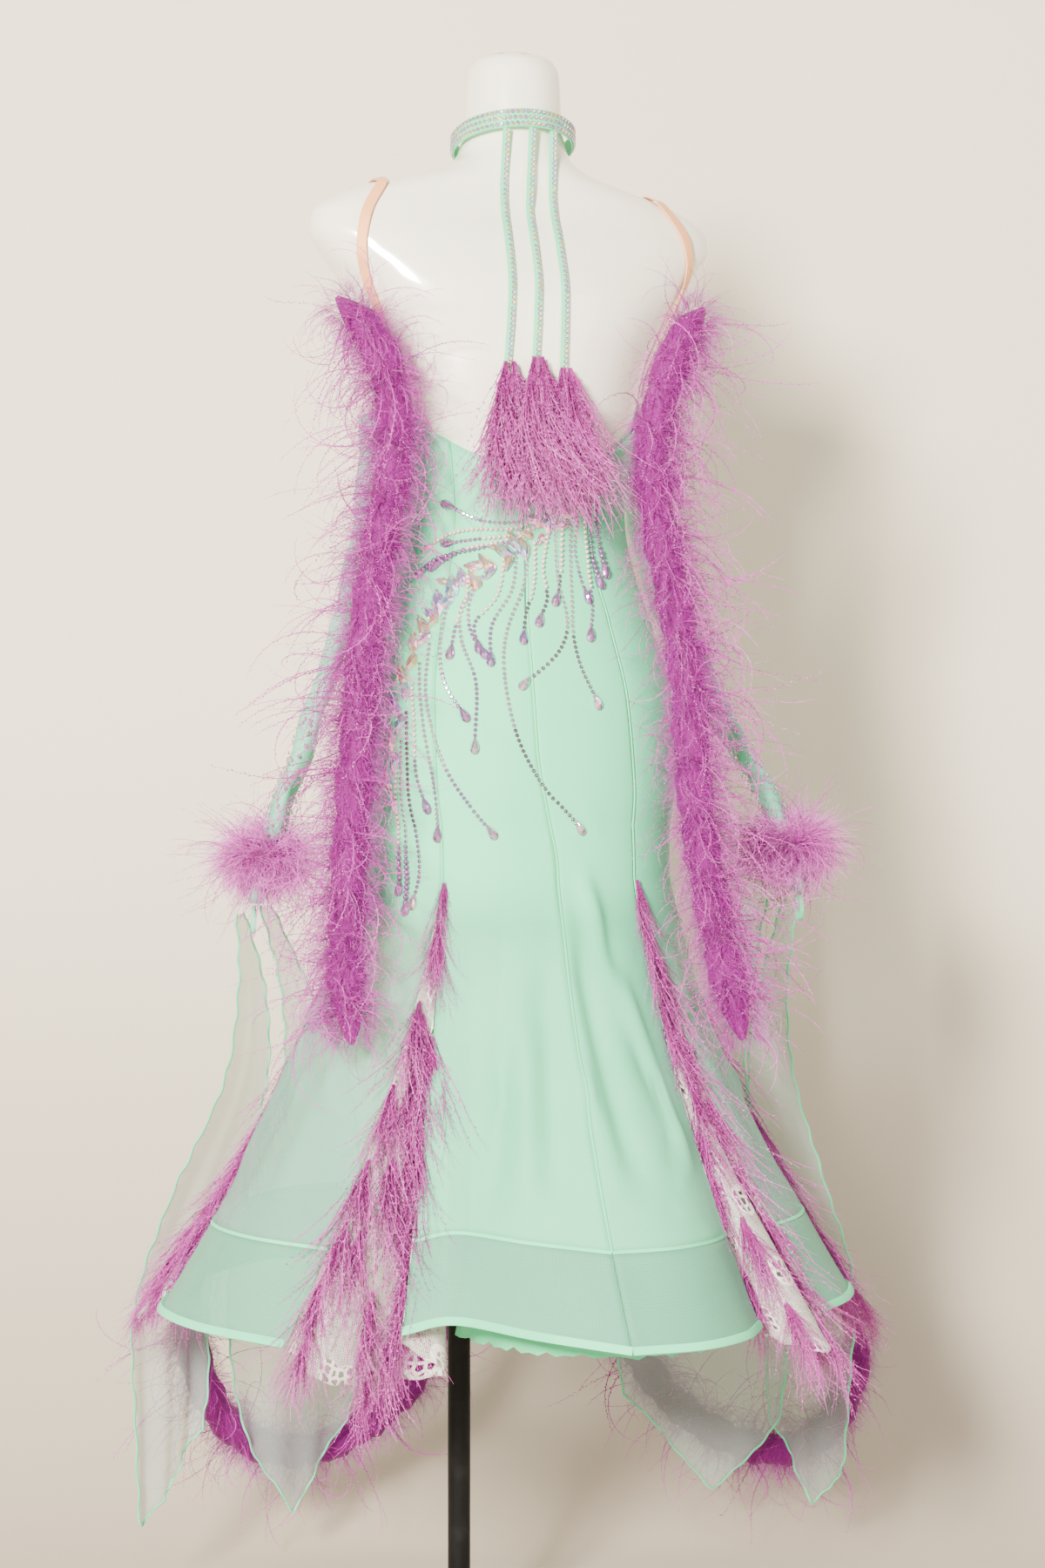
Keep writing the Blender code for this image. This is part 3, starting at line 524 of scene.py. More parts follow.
# The spray's large stones: angle, height, length, turn from upright in degrees, cut
LARGE_STONES = (
    (38, 1.262, 0.020, 60, "navette"),
    (33, 1.246, 0.018, 20, "drop"),
    (27, 1.232, 0.020, 75, "navette"),
    (21, 1.218, 0.017, 100, "navette"),
    (14, 1.206, 0.021, 80, "navette"),
    (8, 1.196, 0.020, 95, "navette"),
    (2, 1.197, 0.022, 8, "navette"),
    (-3, 1.199, 0.020, 60, "navette"),
    (-1, 1.180, 0.014, 150, "drop"),
    (-8, 1.186, 0.016, 70, "drop"),
    (-9, 1.171, 0.026, 12, "navette"),
    (-13, 1.178, 0.024, 32, "navette"),
    (-18, 1.168, 0.026, 62, "navette"),
    (-16, 1.156, 0.018, 170, "drop"),
    (-23, 1.172, 0.014, 90, "drop"),
    (-26, 1.155, 0.022, 42, "drop"),
    (-24, 1.146, 0.018, 160, "drop"),
    (-32, 1.152, 0.018, 95, "drop"),
    (-31, 1.138, 0.022, 30, "drop"),
    (-37, 1.140, 0.020, 20, "drop"),
    (-41, 1.131, 0.024, 15, "drop"),
    (-42, 1.113, 0.018, 150, "drop"),
    (-46, 1.136, 0.016, 80, "navette"),
    (-46, 1.113, 0.028, 18, "navette"),
    (-50, 1.103, 0.017, 60, "drop"),
    (-47, 1.094, 0.018, 160, "drop"),
    (-52, 1.090, 0.022, 35, "drop"),
    (-50, 1.075, 0.018, 150, "drop"),
    (-55, 1.072, 0.024, 12, "navette"),
    (-54, 1.050, 0.020, 165, "drop"),
    (-58, 1.040, 0.022, 25, "drop"),
    (-55, 1.022, 0.020, 5, "navette"),
    (-60, 1.010, 0.022, 20, "drop"),
    (-57, 0.988, 0.020, 160, "drop"),
    (-61, 0.972, 0.022, 10, "navette"),
    (-59, 0.948, 0.020, 170, "drop"),
    (-63, 0.930, 0.020, 15, "drop"),
    (-60, 0.905, 0.018, 5, "navette"),
)

# The spray's strings: finish at the top, finish at the end, then angle and height along it
STRINGS = (
    ("clear", "lilac", ((2, 1.212), (-12, 1.198), (-30, 1.200), (-47, 1.216))),
    ("blush", "blush", ((1, 1.204), (-14, 1.191), (-32, 1.190), (-46, 1.185), (-58, 1.172))),
    ("blush", "lilac", ((0, 1.196), (-14, 1.184), (-30, 1.180), (-46, 1.176))),
    ("blush", "violet", ((-8, 1.184), (-22, 1.176), (-38, 1.168), (-52, 1.152))),
    ("violet", "violet", ((-16, 1.176), (-34, 1.168), (-50, 1.160), (-60, 1.146))),
    ("blush", "lilac", ((-34, 1.140), (-33, 1.118), (-36, 1.090), (-37, 1.062))),
    ("clear", "lilac", ((-25, 1.150), (-31, 1.118), (-30, 1.086), (-24, 1.062))),
    ("clear", "lilac", ((-41, 1.118), (-42, 1.070), (-38, 1.030), (-30, 0.998))),
    ("blush", "lilac", ((-18, 1.158), (-20, 1.120), (-28, 1.092), (-26, 1.068))),
    ("clear", "lilac", ((-22, 1.152), (-34, 1.112), (-33, 1.075), (-26, 1.030), (-26, 0.966))),
    ("clear", "lilac", ((-12, 1.166), (-14, 1.125), (-21, 1.090), (-21, 1.055))),
    (
        "clear",
        "dark",
        ((-7, 1.168), (-9, 1.130), (-15, 1.085), (-16, 1.042), (-11.5, 0.976), (-2.5, 0.921), (8, 0.882)),
    ),
    ("blush", "dark", ((-4, 1.176), (-5, 1.135), (-8, 1.100), (-9, 1.078))),
    ("blush", "dark", ((2, 1.188), (-1, 1.150), (0, 1.120), (-3, 1.096))),
    ("clear", "dark", ((6, 1.190), (5, 1.140), (6, 1.090), (0, 1.055), (-9, 1.030))),
    ("blush", "dark", ((9, 1.192), (7, 1.155), (5, 1.130), (3, 1.118))),
    ("clear", "dark", ((14, 1.196), (11, 1.140), (8, 1.090), (9, 1.050), (14, 1.012))),
    ("clear", "lilac", ((18, 1.200), (15, 1.170), (16, 1.140), (17, 1.122))),
    ("blush", "lilac", ((22, 1.206), (21, 1.160), (19, 1.120), (15, 1.082))),
    ("violet", "violet", ((26, 1.214), (25, 1.185), (24, 1.160), (26, 1.138))),
    ("violet", "violet", ((31, 1.224), (30, 1.190), (30, 1.165), (31, 1.150))),
    ("clear", "violet", ((12, 1.202), (18, 1.214), (26, 1.226), (36, 1.240))),
    ("blush", "violet", ((5, 1.206), (12, 1.216), (22, 1.232), (33, 1.252))),
    ("clear", "lilac", ((-47, 1.070), (-45, 1.010), (-38, 0.950), (-28, 0.905), (-20.5, 0.878))),
    ("clear", "lilac", ((-50, 1.050), (-46, 0.985), (-41, 0.920), (-41, 0.876))),
    ("blush", "lilac", ((-52, 1.030), (-50, 0.985), (-49, 0.940), (-45, 0.905))),
    ("dark", "lilac", ((-54, 1.000), (-53, 0.950), (-52, 0.900), (-49, 0.850), (-50, 0.806))),
    ("clear", "violet", ((-56, 0.970), (-56, 0.910), (-55, 0.850), (-53, 0.800))),
    ("blush", "violet", ((-58, 0.940), (-59, 0.880), (-58, 0.820))),
)
# Strands of down and loose wisps on each boa, and on each garland
BOA_STRANDS = (19000, 1500)
GARLAND_STRANDS = (9000, 560)
# How far a strand's straight length may end past the box of the solids. Its curl goes further.
STRAND_REACH = -0.010
BEAD = 0.0044  # a small stone of a string
BEAD_PITCH = 0.0052
LARGE_STONE_GROWTH = 1.15

DRESS_LIFT = CLOTH / 2 + 0.0002  # from the middle of the cloth to a stone's foot

# ---------------------------------------------------------------- camera, stage and light

CAMERA_TOWARDS = Vector((-0.342, -0.940, 0.0))  # from the form's axis to the camera
CAMERA_DISTANCE = 3.0
CAMERA_HEIGHT = 0.927
CAMERA_LENS = 64.5
CAMERA_SHIFT = 0.0061


def make_camera():
    data = bpy.data.cameras.new("camera")
    data.sensor_width = 36.0
    data.lens = CAMERA_LENS
    data.shift_x = CAMERA_SHIFT
    camera = bpy.data.objects.new("camera", data)
    bpy.context.scene.collection.objects.link(camera)
    towards = CAMERA_TOWARDS.normalized()
    camera.location = AXIS + towards * CAMERA_DISTANCE + Vector((0, 0, CAMERA_HEIGHT))
    camera.rotation_mode = "QUATERNION"
    camera.rotation_quaternion = (-towards).to_track_quat("-Z", "Y")
    bpy.context.scene.camera = camera


def make_light(name, where, aim, size, power, colour):
    data = bpy.data.lights.new(name, "AREA")
    data.shape = "RECTANGLE"
    data.size, data.size_y = size
    data.energy = power
    data.color = colour
    lamp = bpy.data.objects.new(name, data)
    bpy.context.scene.collection.objects.link(lamp)
    lamp.location = where
    lamp.rotation_mode = "QUATERNION"
    lamp.rotation_quaternion = (Vector(aim) - Vector(where)).to_track_quat("-Z", "Y")


def make_lights():
    world = bpy.data.worlds.new("studio")
    world.use_nodes = True
    world.node_tree.nodes["Background"].inputs["Color"].default_value = (1.0, 0.95, 0.88, 1)
    world.node_tree.nodes["Background"].inputs["Strength"].default_value = 0.65
    bpy.context.scene.world = world
    make_light("key_light", (-2.3, -3.0, 1.9), (0.05, 0, 0.95), (0.6, 0.8), 600, (1.0, 0.94, 0.84))
    make_light("fill_light", (1.6, -3.2, 1.6), (0.05, 0, 0.8), (1.8, 2.0), 45, (1.0, 0.96, 0.90))


def make_stage():
    """A pale floor that curves up into a backdrop behind the dress, coloured with painted shade that darkens it
    towards the floor.
    """
    away = -CAMERA_TOWARDS.normalized()
    side = Vector((-away.y, away.x, 0))
    profile = [(-4.5, 0.0), (0.35, 0.0)]
    for i in range(1, 13):
        a = math.radians(90 * i / 12)
        profile.append((0.35 + 0.50 * math.sin(a), 0.50 * (1 - math.cos(a))))
    profile.append((0.85, 5.0))
    bm = bmesh.new()
    rows = []
    for reach, height in profile:
        middle = AXIS + away * reach + Vector((0, 0, height))
        rows.append([bm.verts.new(middle + side * 5.0), bm.verts.new(middle - side * 5.0)])
    for low, high in zip(rows, rows[1:]):
        bm.faces.new((low[0], low[1], high[1], high[0]))
    bmesh.ops.recalc_face_normals(bm, faces=bm.faces)
    data = bpy.data.meshes.new("studio_floor")
    bm.to_mesh(data)
    bm.free()
    data.shade_smooth()
    data.materials.append(floor_with_painted_shade())
    floor = bpy.data.objects.new("studio_floor", data)
    bpy.context.scene.collection.objects.link(floor)


# ---------------------------------------------------------------- nodes of the finishes


def add_node(tree, kind, settings=None, **sockets):
    """A node with its settings, and its sockets linked or set. An underscore stands for a space."""
    made = tree.nodes.new(kind)
    for name, value in (settings or {}).items():
        setattr(made, name, value)
    for name, value in sockets.items():
        fill_socket(tree, made.inputs[name.replace("_", " ")], value)
    return made


def fill_socket(tree, socket, value):
    if isinstance(value, bpy.types.NodeSocket):
        tree.links.new(value, socket)
    elif isinstance(value, tuple) and len(value) == 3 and socket.type == "RGBA":
        socket.default_value = (*value, 1)
    else:
        socket.default_value = value


def sum_node(tree, operation, *values, clamp=False):
    made = tree.nodes.new("ShaderNodeMath")
    made.operation = operation
    made.use_clamp = clamp
    for socket, value in zip(made.inputs, values):
        fill_socket(tree, socket, value)
    return made.outputs[0]


def mix_colour(tree, share, a, b, blend="MIX"):
    made = tree.nodes.new("ShaderNodeMix")
    made.data_type = "RGBA"
    made.blend_type = blend
    fill_socket(tree, made.inputs[0], share)
    fill_socket(tree, made.inputs[6], a)
    fill_socket(tree, made.inputs[7], b)
    return made.outputs[2]


def range_node(tree, value, low, high, to_low=0.0, to_high=1.0):
    made = tree.nodes.new("ShaderNodeMapRange")
    made.interpolation_type = "SMOOTHSTEP"
    fill_socket(tree, made.inputs["Value"], value)
    fill_socket(tree, made.inputs["From Min"], low)
    fill_socket(tree, made.inputs["From Max"], high)
    fill_socket(tree, made.inputs["To Min"], to_low)
    fill_socket(tree, made.inputs["To Max"], to_high)
    return made.outputs["Result"]


def new_group(name, wanted, given):
    """A shader node group. wanted: name, type, value. given: name, type."""
    group = bpy.data.node_groups.new(name, "ShaderNodeTree")
    for label, kind, value in wanted:
        socket = group.interface.new_socket(name=label, in_out="INPUT", socket_type=kind)
        if value is not None:
            socket.default_value = value
    for label, kind in given:
        group.interface.new_socket(name=label, in_out="OUTPUT", socket_type=kind)
    return group, group.nodes.new("NodeGroupInput").outputs, group.nodes.new("NodeGroupOutput").inputs


def use_group(tree, group, **sockets):
    made = tree.nodes.new("ShaderNodeGroup")
    made.node_tree = group
    for name, value in sockets.items():
        fill_socket(tree, made.inputs[name.replace("_", " ")], value)
    return made.outputs


FLOAT, VECTOR, COLOUR = "NodeSocketFloat", "NodeSocketVector", "NodeSocketColor"


def weave_group():
    """Crossed threads. Place is in metres along the warp and the weft."""
    group, wanted, given = new_group(
        "cloth_weave",
        (("Place", VECTOR, None), ("Pitch", FLOAT, 0.001), ("Unevenness", FLOAT, 0.3)),
        (("Height", FLOAT), ("Gaps", FLOAT), ("Slubs", FLOAT)),
    )
    parts = add_node(group, "ShaderNodeSeparateXYZ", Vector=wanted["Place"]).outputs
    turns = sum_node(group, "DIVIDE", 2 * math.pi, wanted["Pitch"])
    warp = sum_node(group, "SINE", sum_node(group, "MULTIPLY", parts["X"], turns))
    weft = sum_node(group, "SINE", sum_node(group, "MULTIPLY", parts["Y"], turns))
    threads = sum_node(group, "MAXIMUM", warp, weft)
    group.links.new(threads, given["Height"])
    warp_gap = sum_node(group, "MULTIPLY", warp, -1)
    weft_gap = sum_node(group, "MULTIPLY", weft, -1)
    gaps = sum_node(group, "MINIMUM", warp_gap, weft_gap)
    group.links.new(range_node(group, gaps, 0.0, 0.8), given["Gaps"])
    stretched = add_node(
        group, "ShaderNodeVectorMath", {"operation": "MULTIPLY"}, Vector=wanted["Place"]
    )
    stretched.inputs[1].default_value = (900.0, 60.0, 900.0)
    slubs = add_node(
        group,
        "ShaderNodeTexNoise",
        Vector=stretched.outputs[0],
        Scale=1.0,
        Detail=2.0,
    ).outputs["Fac"]
    uneven = sum_node(group, "MULTIPLY", sum_node(group, "SUBTRACT", slubs, 0.5), wanted["Unevenness"])
    group.links.new(uneven, given["Slubs"])
    return group


def tone_group():
    """Broad, soft changes of a cloth's colour."""
    group, wanted, given = new_group(
        "cloth_tone",
        (
            ("Place", VECTOR, None),
            ("Colour", COLOUR, (0.5, 0.7, 0.6, 1)),
            ("Second Colour", COLOUR, (0.4, 0.6, 0.5, 1)),
            ("Patch Size", FLOAT, 0.12),
            ("Slubs", FLOAT, 0.0),
        ),
        (("Colour", COLOUR),),
    )
    scale = sum_node(group, "DIVIDE", 1.0, wanted["Patch Size"])
    patches = add_node(
        group, "ShaderNodeTexNoise", Vector=wanted["Place"], Scale=scale, Detail=3.0
    ).outputs["Fac"]
    share = range_node(group, patches, 0.35, 0.68)
    share = sum_node(group, "ADD", share, wanted["Slubs"], clamp=True)
    colour = mix_colour(group, share, wanted["Colour"], wanted["Second Colour"])
    group.links.new(colour, given["Colour"])
    return group


def lace_group():
    """A lace of six-sided net, five-petalled flowers, scrolls and open eyelets."""
    group, wanted, given = new_group(
        "lace_figure",
        (("Place", VECTOR, None), ("Net Pitch", FLOAT, 0.0021), ("Flower Pitch", FLOAT, 0.062)),
        (("Thread", FLOAT), ("Figure", FLOAT)),
    )
    per_net = sum_node(group, "DIVIDE", 1.0, wanted["Net Pitch"])
    net = add_node(
        group,
        "ShaderNodeTexVoronoi",
        {"voronoi_dimensions": "2D", "feature": "DISTANCE_TO_EDGE"},
        Vector=wanted["Place"],
        Scale=per_net,
        Randomness=0.25,
    ).outputs["Distance"]
    net = range_node(group, net, 0.10, 0.22, 1.0, 0.0)

    per_flower = sum_node(group, "DIVIDE", 1.0, wanted["Flower Pitch"])
    cells = add_node(
        group,
        "ShaderNodeTexVoronoi",
        {"voronoi_dimensions": "2D"},
        Vector=wanted["Place"],
        Scale=per_flower,
        Randomness=0.85,
    ).outputs
    scaled = add_node(
        group, "ShaderNodeVectorMath", {"operation": "SCALE"}, Vector=wanted["Place"], Scale=per_flower
    )
    arm = add_node(group, "ShaderNodeVectorMath", {"operation": "SUBTRACT"})
    group.links.new(scaled.outputs[0], arm.inputs[0])
    group.links.new(cells["Position"], arm.inputs[1])
    arm_parts = add_node(group, "ShaderNodeSeparateXYZ", Vector=arm.outputs[0]).outputs
    turn = sum_node(group, "ARCTAN2", arm_parts["Y"], arm_parts["X"])
    petals = sum_node(group, "COSINE", sum_node(group, "MULTIPLY", turn, 5.0))
    reach = sum_node(group, "MULTIPLY_ADD", petals, 0.07, 0.26)
    from_edge = sum_node(group, "SUBTRACT", cells["Distance"], reach)
    flower = range_node(group, from_edge, 0.0, 0.03, 1.0, 0.0)
    outline = range_node(group, sum_node(group, "ABSOLUTE", from_edge), 0.015, 0.04, 1.0, 0.0)
    # Eyelets: a ring of round holes inside each flower
    eyes = add_node(
        group,
        "ShaderNodeTexVoronoi",
        {"voronoi_dimensions": "2D", "feature": "DISTANCE_TO_EDGE"},
        Vector=wanted["Place"],
        Scale=sum_node(group, "MULTIPLY", per_flower, 6.5),
        Randomness=0.55,
    ).outputs["Distance"]
    eyelet = range_node(group, eyes, 0.14, 0.22)
    core = range_node(group, cells["Distance"], 0.20, 0.24, 1.0, 0.0)
    eyelet = sum_node(group, "MULTIPLY", eyelet, core)

    scroll_noise = add_node(
        group,
        "ShaderNodeTexNoise",
        {"noise_dimensions": "2D"},
        Vector=wanted["Place"],
        Scale=sum_node(group, "MULTIPLY", per_flower, 2.2),
        Detail=0.0,
        Distortion=0.6,
    ).outputs["Fac"]
    bands = sum_node(group, "SINE", sum_node(group, "MULTIPLY", scroll_noise, 60.0))
    scroll = range_node(group, sum_node(group, "ABSOLUTE", bands), 0.12, 0.40, 1.0, 0.0)
    ring = range_node(group, cells["Distance"], 0.30, 0.60)
    scroll = sum_node(group, "MULTIPLY", scroll, ring)

    figure = sum_node(group, "MAXIMUM", flower, sum_node(group, "MAXIMUM", outline, scroll))
    thread = sum_node(group, "MAXIMUM", figure, net)
    thread = sum_node(group, "SUBTRACT", thread, eyelet, clamp=True)
    group.links.new(thread, given["Thread"])
    group.links.new(sum_node(group, "SUBTRACT", figure, eyelet, clamp=True), given["Figure"])
    return group


def plume_group():
    """Dyed feather: deep at the quill, pale and brown-grey at the tips, each strand its own tone."""
    group, wanted, given = new_group(
        "plume_dye",
        (
            ("Along", FLOAT, 0.0),
            ("Shade", FLOAT, 0.5),
            ("Quill Colour", COLOUR, (0.4, 0.05, 0.3, 1)),
            ("Tip Colour", COLOUR, (0.7, 0.4, 0.6, 1)),
        ),
        (("Colour", COLOUR),),
    )
    share = range_node(group, wanted["Along"], 0.05, 1.0)
    colour = mix_colour(group, share, wanted["Quill Colour"], wanted["Tip Colour"])
    dark = mix_colour(group, 1.0, colour, (0.62, 0.50, 0.60, 1), "MULTIPLY")
    light = mix_colour(group, 0.30, colour, (0.86, 0.42, 0.74, 1))
    toned = mix_colour(group, range_node(group, wanted["Shade"], 0.0, 0.5), dark, colour)
    toned = mix_colour(group, range_node(group, wanted["Shade"], 0.6, 1.0), toned, light)
    group.links.new(toned, given["Colour"])
    return group


def facet_group():
    """The rainbow coating of a cut stone: a pale tone that changes from facet to facet."""
    group, wanted, given = new_group(
        "stone_coating",
        (
            ("Facet", FLOAT, 0.0),
            ("Shade", FLOAT, 0.0),
            ("Body Colour", COLOUR, (1, 1, 1, 1)),
            ("Coating", FLOAT, 1.0),
        ),
        (("Colour", COLOUR),),
    )
    mixed = sum_node(group, "FRACT", sum_node(group, "ADD", wanted["Facet"], wanted["Shade"]))
    ramp = add_node(group, "ShaderNodeValToRGB", Fac=mixed)
    ramp.color_ramp.interpolation = "LINEAR"
    tones = (
        (0.00, (0.95, 0.93, 0.90)),
        (0.18, (0.98, 0.42, 0.58)),
        (0.34, (0.56, 0.32, 0.95)),
        (0.48, (0.05, 0.45, 0.78)),
        (0.60, (0.32, 0.86, 0.62)),
        (0.74, (0.98, 0.82, 0.22)),
        (0.86, (1.00, 0.44, 0.16)),
        (1.00, (0.95, 0.93, 0.90)),
    )
    ramp.color_ramp.elements[0].color = (*tones[0][1], 1)
    ramp.color_ramp.elements[1].position = tones[1][0]
    ramp.color_ramp.elements[1].color = (*tones[1][1], 1)
    for place, tone in tones[2:]:
        ramp.color_ramp.elements.new(place).color = (*tone, 1)
    coated = mix_colour(group, 1.0, ramp.outputs["Color"], wanted["Body Colour"], "MULTIPLY")
    colour = mix_colour(group, wanted["Coating"], wanted["Body Colour"], coated)
    group.links.new(colour, given["Colour"])
    return group


WEAVE = weave_group()
TONE = tone_group()
LACE = lace_group()
PLUME = plume_group()
FACET = facet_group()


def new_finish(name, **sockets):
    """A material with a Principled shader, and its shader and tree."""
    finish = bpy.data.materials.new(name)
    finish.use_nodes = True
    tree = finish.node_tree
    shader = tree.nodes["Principled BSDF"]
    for label, value in sockets.items():
        fill_socket(tree, shader.inputs[label.replace("_", " ")], value)
    return finish, tree, shader


def on_uv(tree):
    return add_node(tree, "ShaderNodeUVMap", {"uv_map": "cut"}).outputs["UV"]


def on_object(tree):
    return add_node(tree, "ShaderNodeTexCoord").outputs["Object"]


def worn_value(tree, name):
    return add_node(tree, "ShaderNodeAttribute", {"attribute_name": name}).outputs["Fac"]


def raise_surface(tree, shader, height, distance, strength):
    bump = add_node(tree, "ShaderNodeBump", Height=height, Distance=distance, Strength=strength)
    tree.links.new(bump.outputs["Normal"], shader.inputs["Normal"])


def floor_with_painted_shade():
    finish, tree, shader = new_finish("studio_floor", Roughness=0.9)
    clouds = add_node(tree, "ShaderNodeTexNoise", Vector=on_object(tree), Scale=1.2, Detail=2.0)
    colour = mix_colour(tree, clouds.outputs["Fac"], (0.90, 0.80, 0.67), (0.86, 0.76, 0.63))
    # Painted shade: from 1.1 m up down to the floor the colour grows darker, and the floor itself is darkest.
    height = add_node(tree, "ShaderNodeSeparateXYZ", Vector=on_object(tree)).outputs["Z"]
    colour = mix_colour(tree, range_node(tree, height, 0.0, 1.1), (0.52, 0.45, 0.37), colour)
    tree.links.new(colour, shader.inputs["Base Color"])
    return finish


def form_gloss():
    """Thick cream lacquer, with faint smudges and a few rubbed chips at the neck's rim."""
    finish, tree, shader = new_finish("form_gloss", Coat_Weight=1.0, Coat_Roughness=0.06, IOR=1.5)
    place = on_object(tree)
    smudge = add_node(tree, "ShaderNodeTexNoise", Vector=place, Scale=14.0, Detail=5.0, Roughness=0.6)
    scuffs = add_node(tree, "ShaderNodeTexNoise", Vector=place, Scale=95.0, Detail=4.0, Distortion=1.4)
    scuff = range_node(tree, scuffs.outputs["Fac"], 0.66, 0.72)
    patch = range_node(tree, smudge.outputs["Fac"], 0.60, 0.70)
    scuff = sum_node(tree, "MULTIPLY", scuff, patch)
    height = add_node(tree, "ShaderNodeSeparateXYZ", Vector=place).outputs["Z"]
    rim = range_node(tree, height, 1.694, 1.699)
    chips = add_node(tree, "ShaderNodeTexNoise", Vector=place, Scale=120.0, Detail=2.0)
    chip = sum_node(tree, "MULTIPLY", rim, range_node(tree, chips.outputs["Fac"], 0.52, 0.56))
    colour = mix_colour(tree, smudge.outputs["Fac"], (0.95, 0.92, 0.80), (0.92, 0.88, 0.74))
    colour = mix_colour(tree, sum_node(tree, "MULTIPLY", scuff, 0.35), colour, (0.45, 0.40, 0.36))
    colour = mix_colour(tree, chip, colour, (0.22, 0.14, 0.09))
    tree.links.new(colour, shader.inputs["Base Color"])
    rough = range_node(tree, smudge.outputs["Fac"], 0.3, 0.8, 0.16, 0.34)
    scuffed = sum_node(tree, "MULTIPLY", scuff, 0.3)
    tree.links.new(sum_node(tree, "ADD", rough, scuffed), shader.inputs["Roughness"])
    raise_surface(tree, shader, smudge.outputs["Fac"], 0.0004, 0.15)
    return finish


def black_paint():
    finish, tree, shader = new_finish("black_paint", Specular_IOR_Level=0.10)
    place = on_object(tree)
    grain = add_node(tree, "ShaderNodeTexNoise", Vector=place, Scale=600.0, Detail=2.0)
    dust = add_node(tree, "ShaderNodeTexNoise", Vector=place, Scale=18.0, Detail=4.0)
    dusty = range_node(tree, dust.outputs["Fac"], 0.5, 0.8)
    colour = mix_colour(tree, dusty, (0.007, 0.007, 0.007), (0.02, 0.019, 0.018))
    tree.links.new(colour, shader.inputs["Base Color"])
    tree.links.new(range_node(tree, dust.outputs["Fac"], 0.3, 0.8, 0.32, 0.5), shader.inputs["Roughness"])
    raise_surface(tree, shader, grain.outputs["Fac"], 0.0002, 0.4)
    return finish


def mint_cloth(name, colour, second, pitch=0.0009):
    """A matt stretch crepe with a soft sheen."""
    finish, tree, shader = new_finish(
        name, Roughness=0.70, Sheen_Weight=0.06, Sheen_Roughness=0.4, Specular_IOR_Level=0.25
    )
    place = on_uv(tree)
    weave = use_group(tree, WEAVE, Place=place, Pitch=pitch, Unevenness=0.35)
    tone = use_group(
        tree, TONE, Place=on_object(tree), Colour=colour, Second_Colour=second, Patch_Size=0.10, Slubs=weave["Slubs"]
    )
    tree.links.new(tone["Colour"], shader.inputs["Base Color"])
    raise_surface(tree, shader, weave["Height"], 0.00012, 0.35)
    return finish


def sheer_cloth(name, colour, second, pitch, alpha, open_alpha, lined_above=None, depth=0.0001):
    """Organza, chiffon or net: alpha on the threads, less in the gaps between them."""
    finish, tree, shader = new_finish(
        name, Roughness=0.55, Sheen_Weight=0.08, Sheen_Roughness=0.35, Specular_IOR_Level=0.25
    )
    place = on_uv(tree)
    weave = use_group(tree, WEAVE, Place=place, Pitch=pitch, Unevenness=0.5)
    solid = on_object(tree)
    tone = use_group(
        tree, TONE, Place=solid, Colour=colour, Second_Colour=second, Patch_Size=0.14, Slubs=weave["Slubs"]
    )
    shade = tone["Colour"]
    see = range_node(tree, weave["Gaps"], 0.0, 1.0, alpha, open_alpha)
    if lined_above is not None:
        height = add_node(tree, "ShaderNodeSeparateXYZ", Vector=solid).outputs["Z"]
        lined = range_node(tree, height, lined_above - 0.130, lined_above + 0.004)
        see = sum_node(tree, "MAXIMUM", see, lined)
        shade = mix_colour(tree, lined, shade, LINED_MINT)
    tree.links.new(shade, shader.inputs["Base Color"])
    tree.links.new(see, shader.inputs["Alpha"])
    raise_surface(tree, shader, weave["Height"], depth, 0.4)
    return finish


LINED_MINT = (0.14, 0.73, 0.39)


def lace_finish():
    finish, tree, shader = new_finish("lace", Roughness=0.75, Sheen_Weight=0.2, Sheen_Roughness=0.5)
    lace = use_group(tree, LACE, Place=on_uv(tree), Net_Pitch=0.0024, Flower_Pitch=0.060)
    colour = mix_colour(tree, lace["Figure"], (0.66, 0.66, 0.60), (0.86, 0.85, 0.78))
    tree.links.new(colour, shader.inputs["Base Color"])
    tree.links.new(lace["Thread"], shader.inputs["Alpha"])
    raise_surface(tree, shader, lace["Figure"], 0.0006, 0.6)
    return finish


def plume_finish(name, quill, tip):
    finish, tree, shader = new_finish(
        name, Roughness=0.75, Sheen_Weight=0.12, Sheen_Roughness=0.4, Specular_IOR_Level=0.2
    )
    dye = use_group(
        tree,
        PLUME,
        Along=worn_value(tree, "along"),
        Shade=worn_value(tree, "shade"),
        Quill_Colour=quill,
        Tip_Colour=tip,
    )
    tree.links.new(dye["Colour"], shader.inputs["Base Color"])
    return finish


def stone_finish(name, body, coating, metal, rough):
    finish, tree, shader = new_finish(name, Coat_Weight=1.0, Coat_Roughness=0.02, IOR=1.6)
    coat = use_group(
        tree,
        FACET,
        Facet=worn_value(tree, "facet"),
        Shade=worn_value(tree, "shade"),
        Body_Colour=body,
        Coating=coating,
    )
    tree.links.new(coat["Colour"], shader.inputs["Base Color"])
    shader.inputs["Metallic"].default_value = metal
    shader.inputs["Roughness"].default_value = rough
    return finish


def elastic_finish():
    """Satin-faced elastic with fine ribs along it."""
    finish, tree, shader = new_finish("nude_elastic", Roughness=0.32, Sheen_Weight=0.2, Sheen_Roughness=0.3)
    place = on_uv(tree)
    ribs = add_node(
        tree, "ShaderNodeTexWave", {"bands_direction": "X"}, Vector=place, Scale=450.0, Distortion=0.2
    )
    weave = use_group(tree, WEAVE, Place=place, Pitch=0.0008, Unevenness=0.4)
    colour = mix_colour(tree, ribs.outputs["Fac"], (0.84, 0.36, 0.14), (0.94, 0.46, 0.20))
    tree.links.new(colour, shader.inputs["Base Color"])
    raise_surface(tree, shader, sum_node(tree, "ADD", ribs.outputs["Fac"], weave["Height"]), 0.00015, 0.4)
    return finish


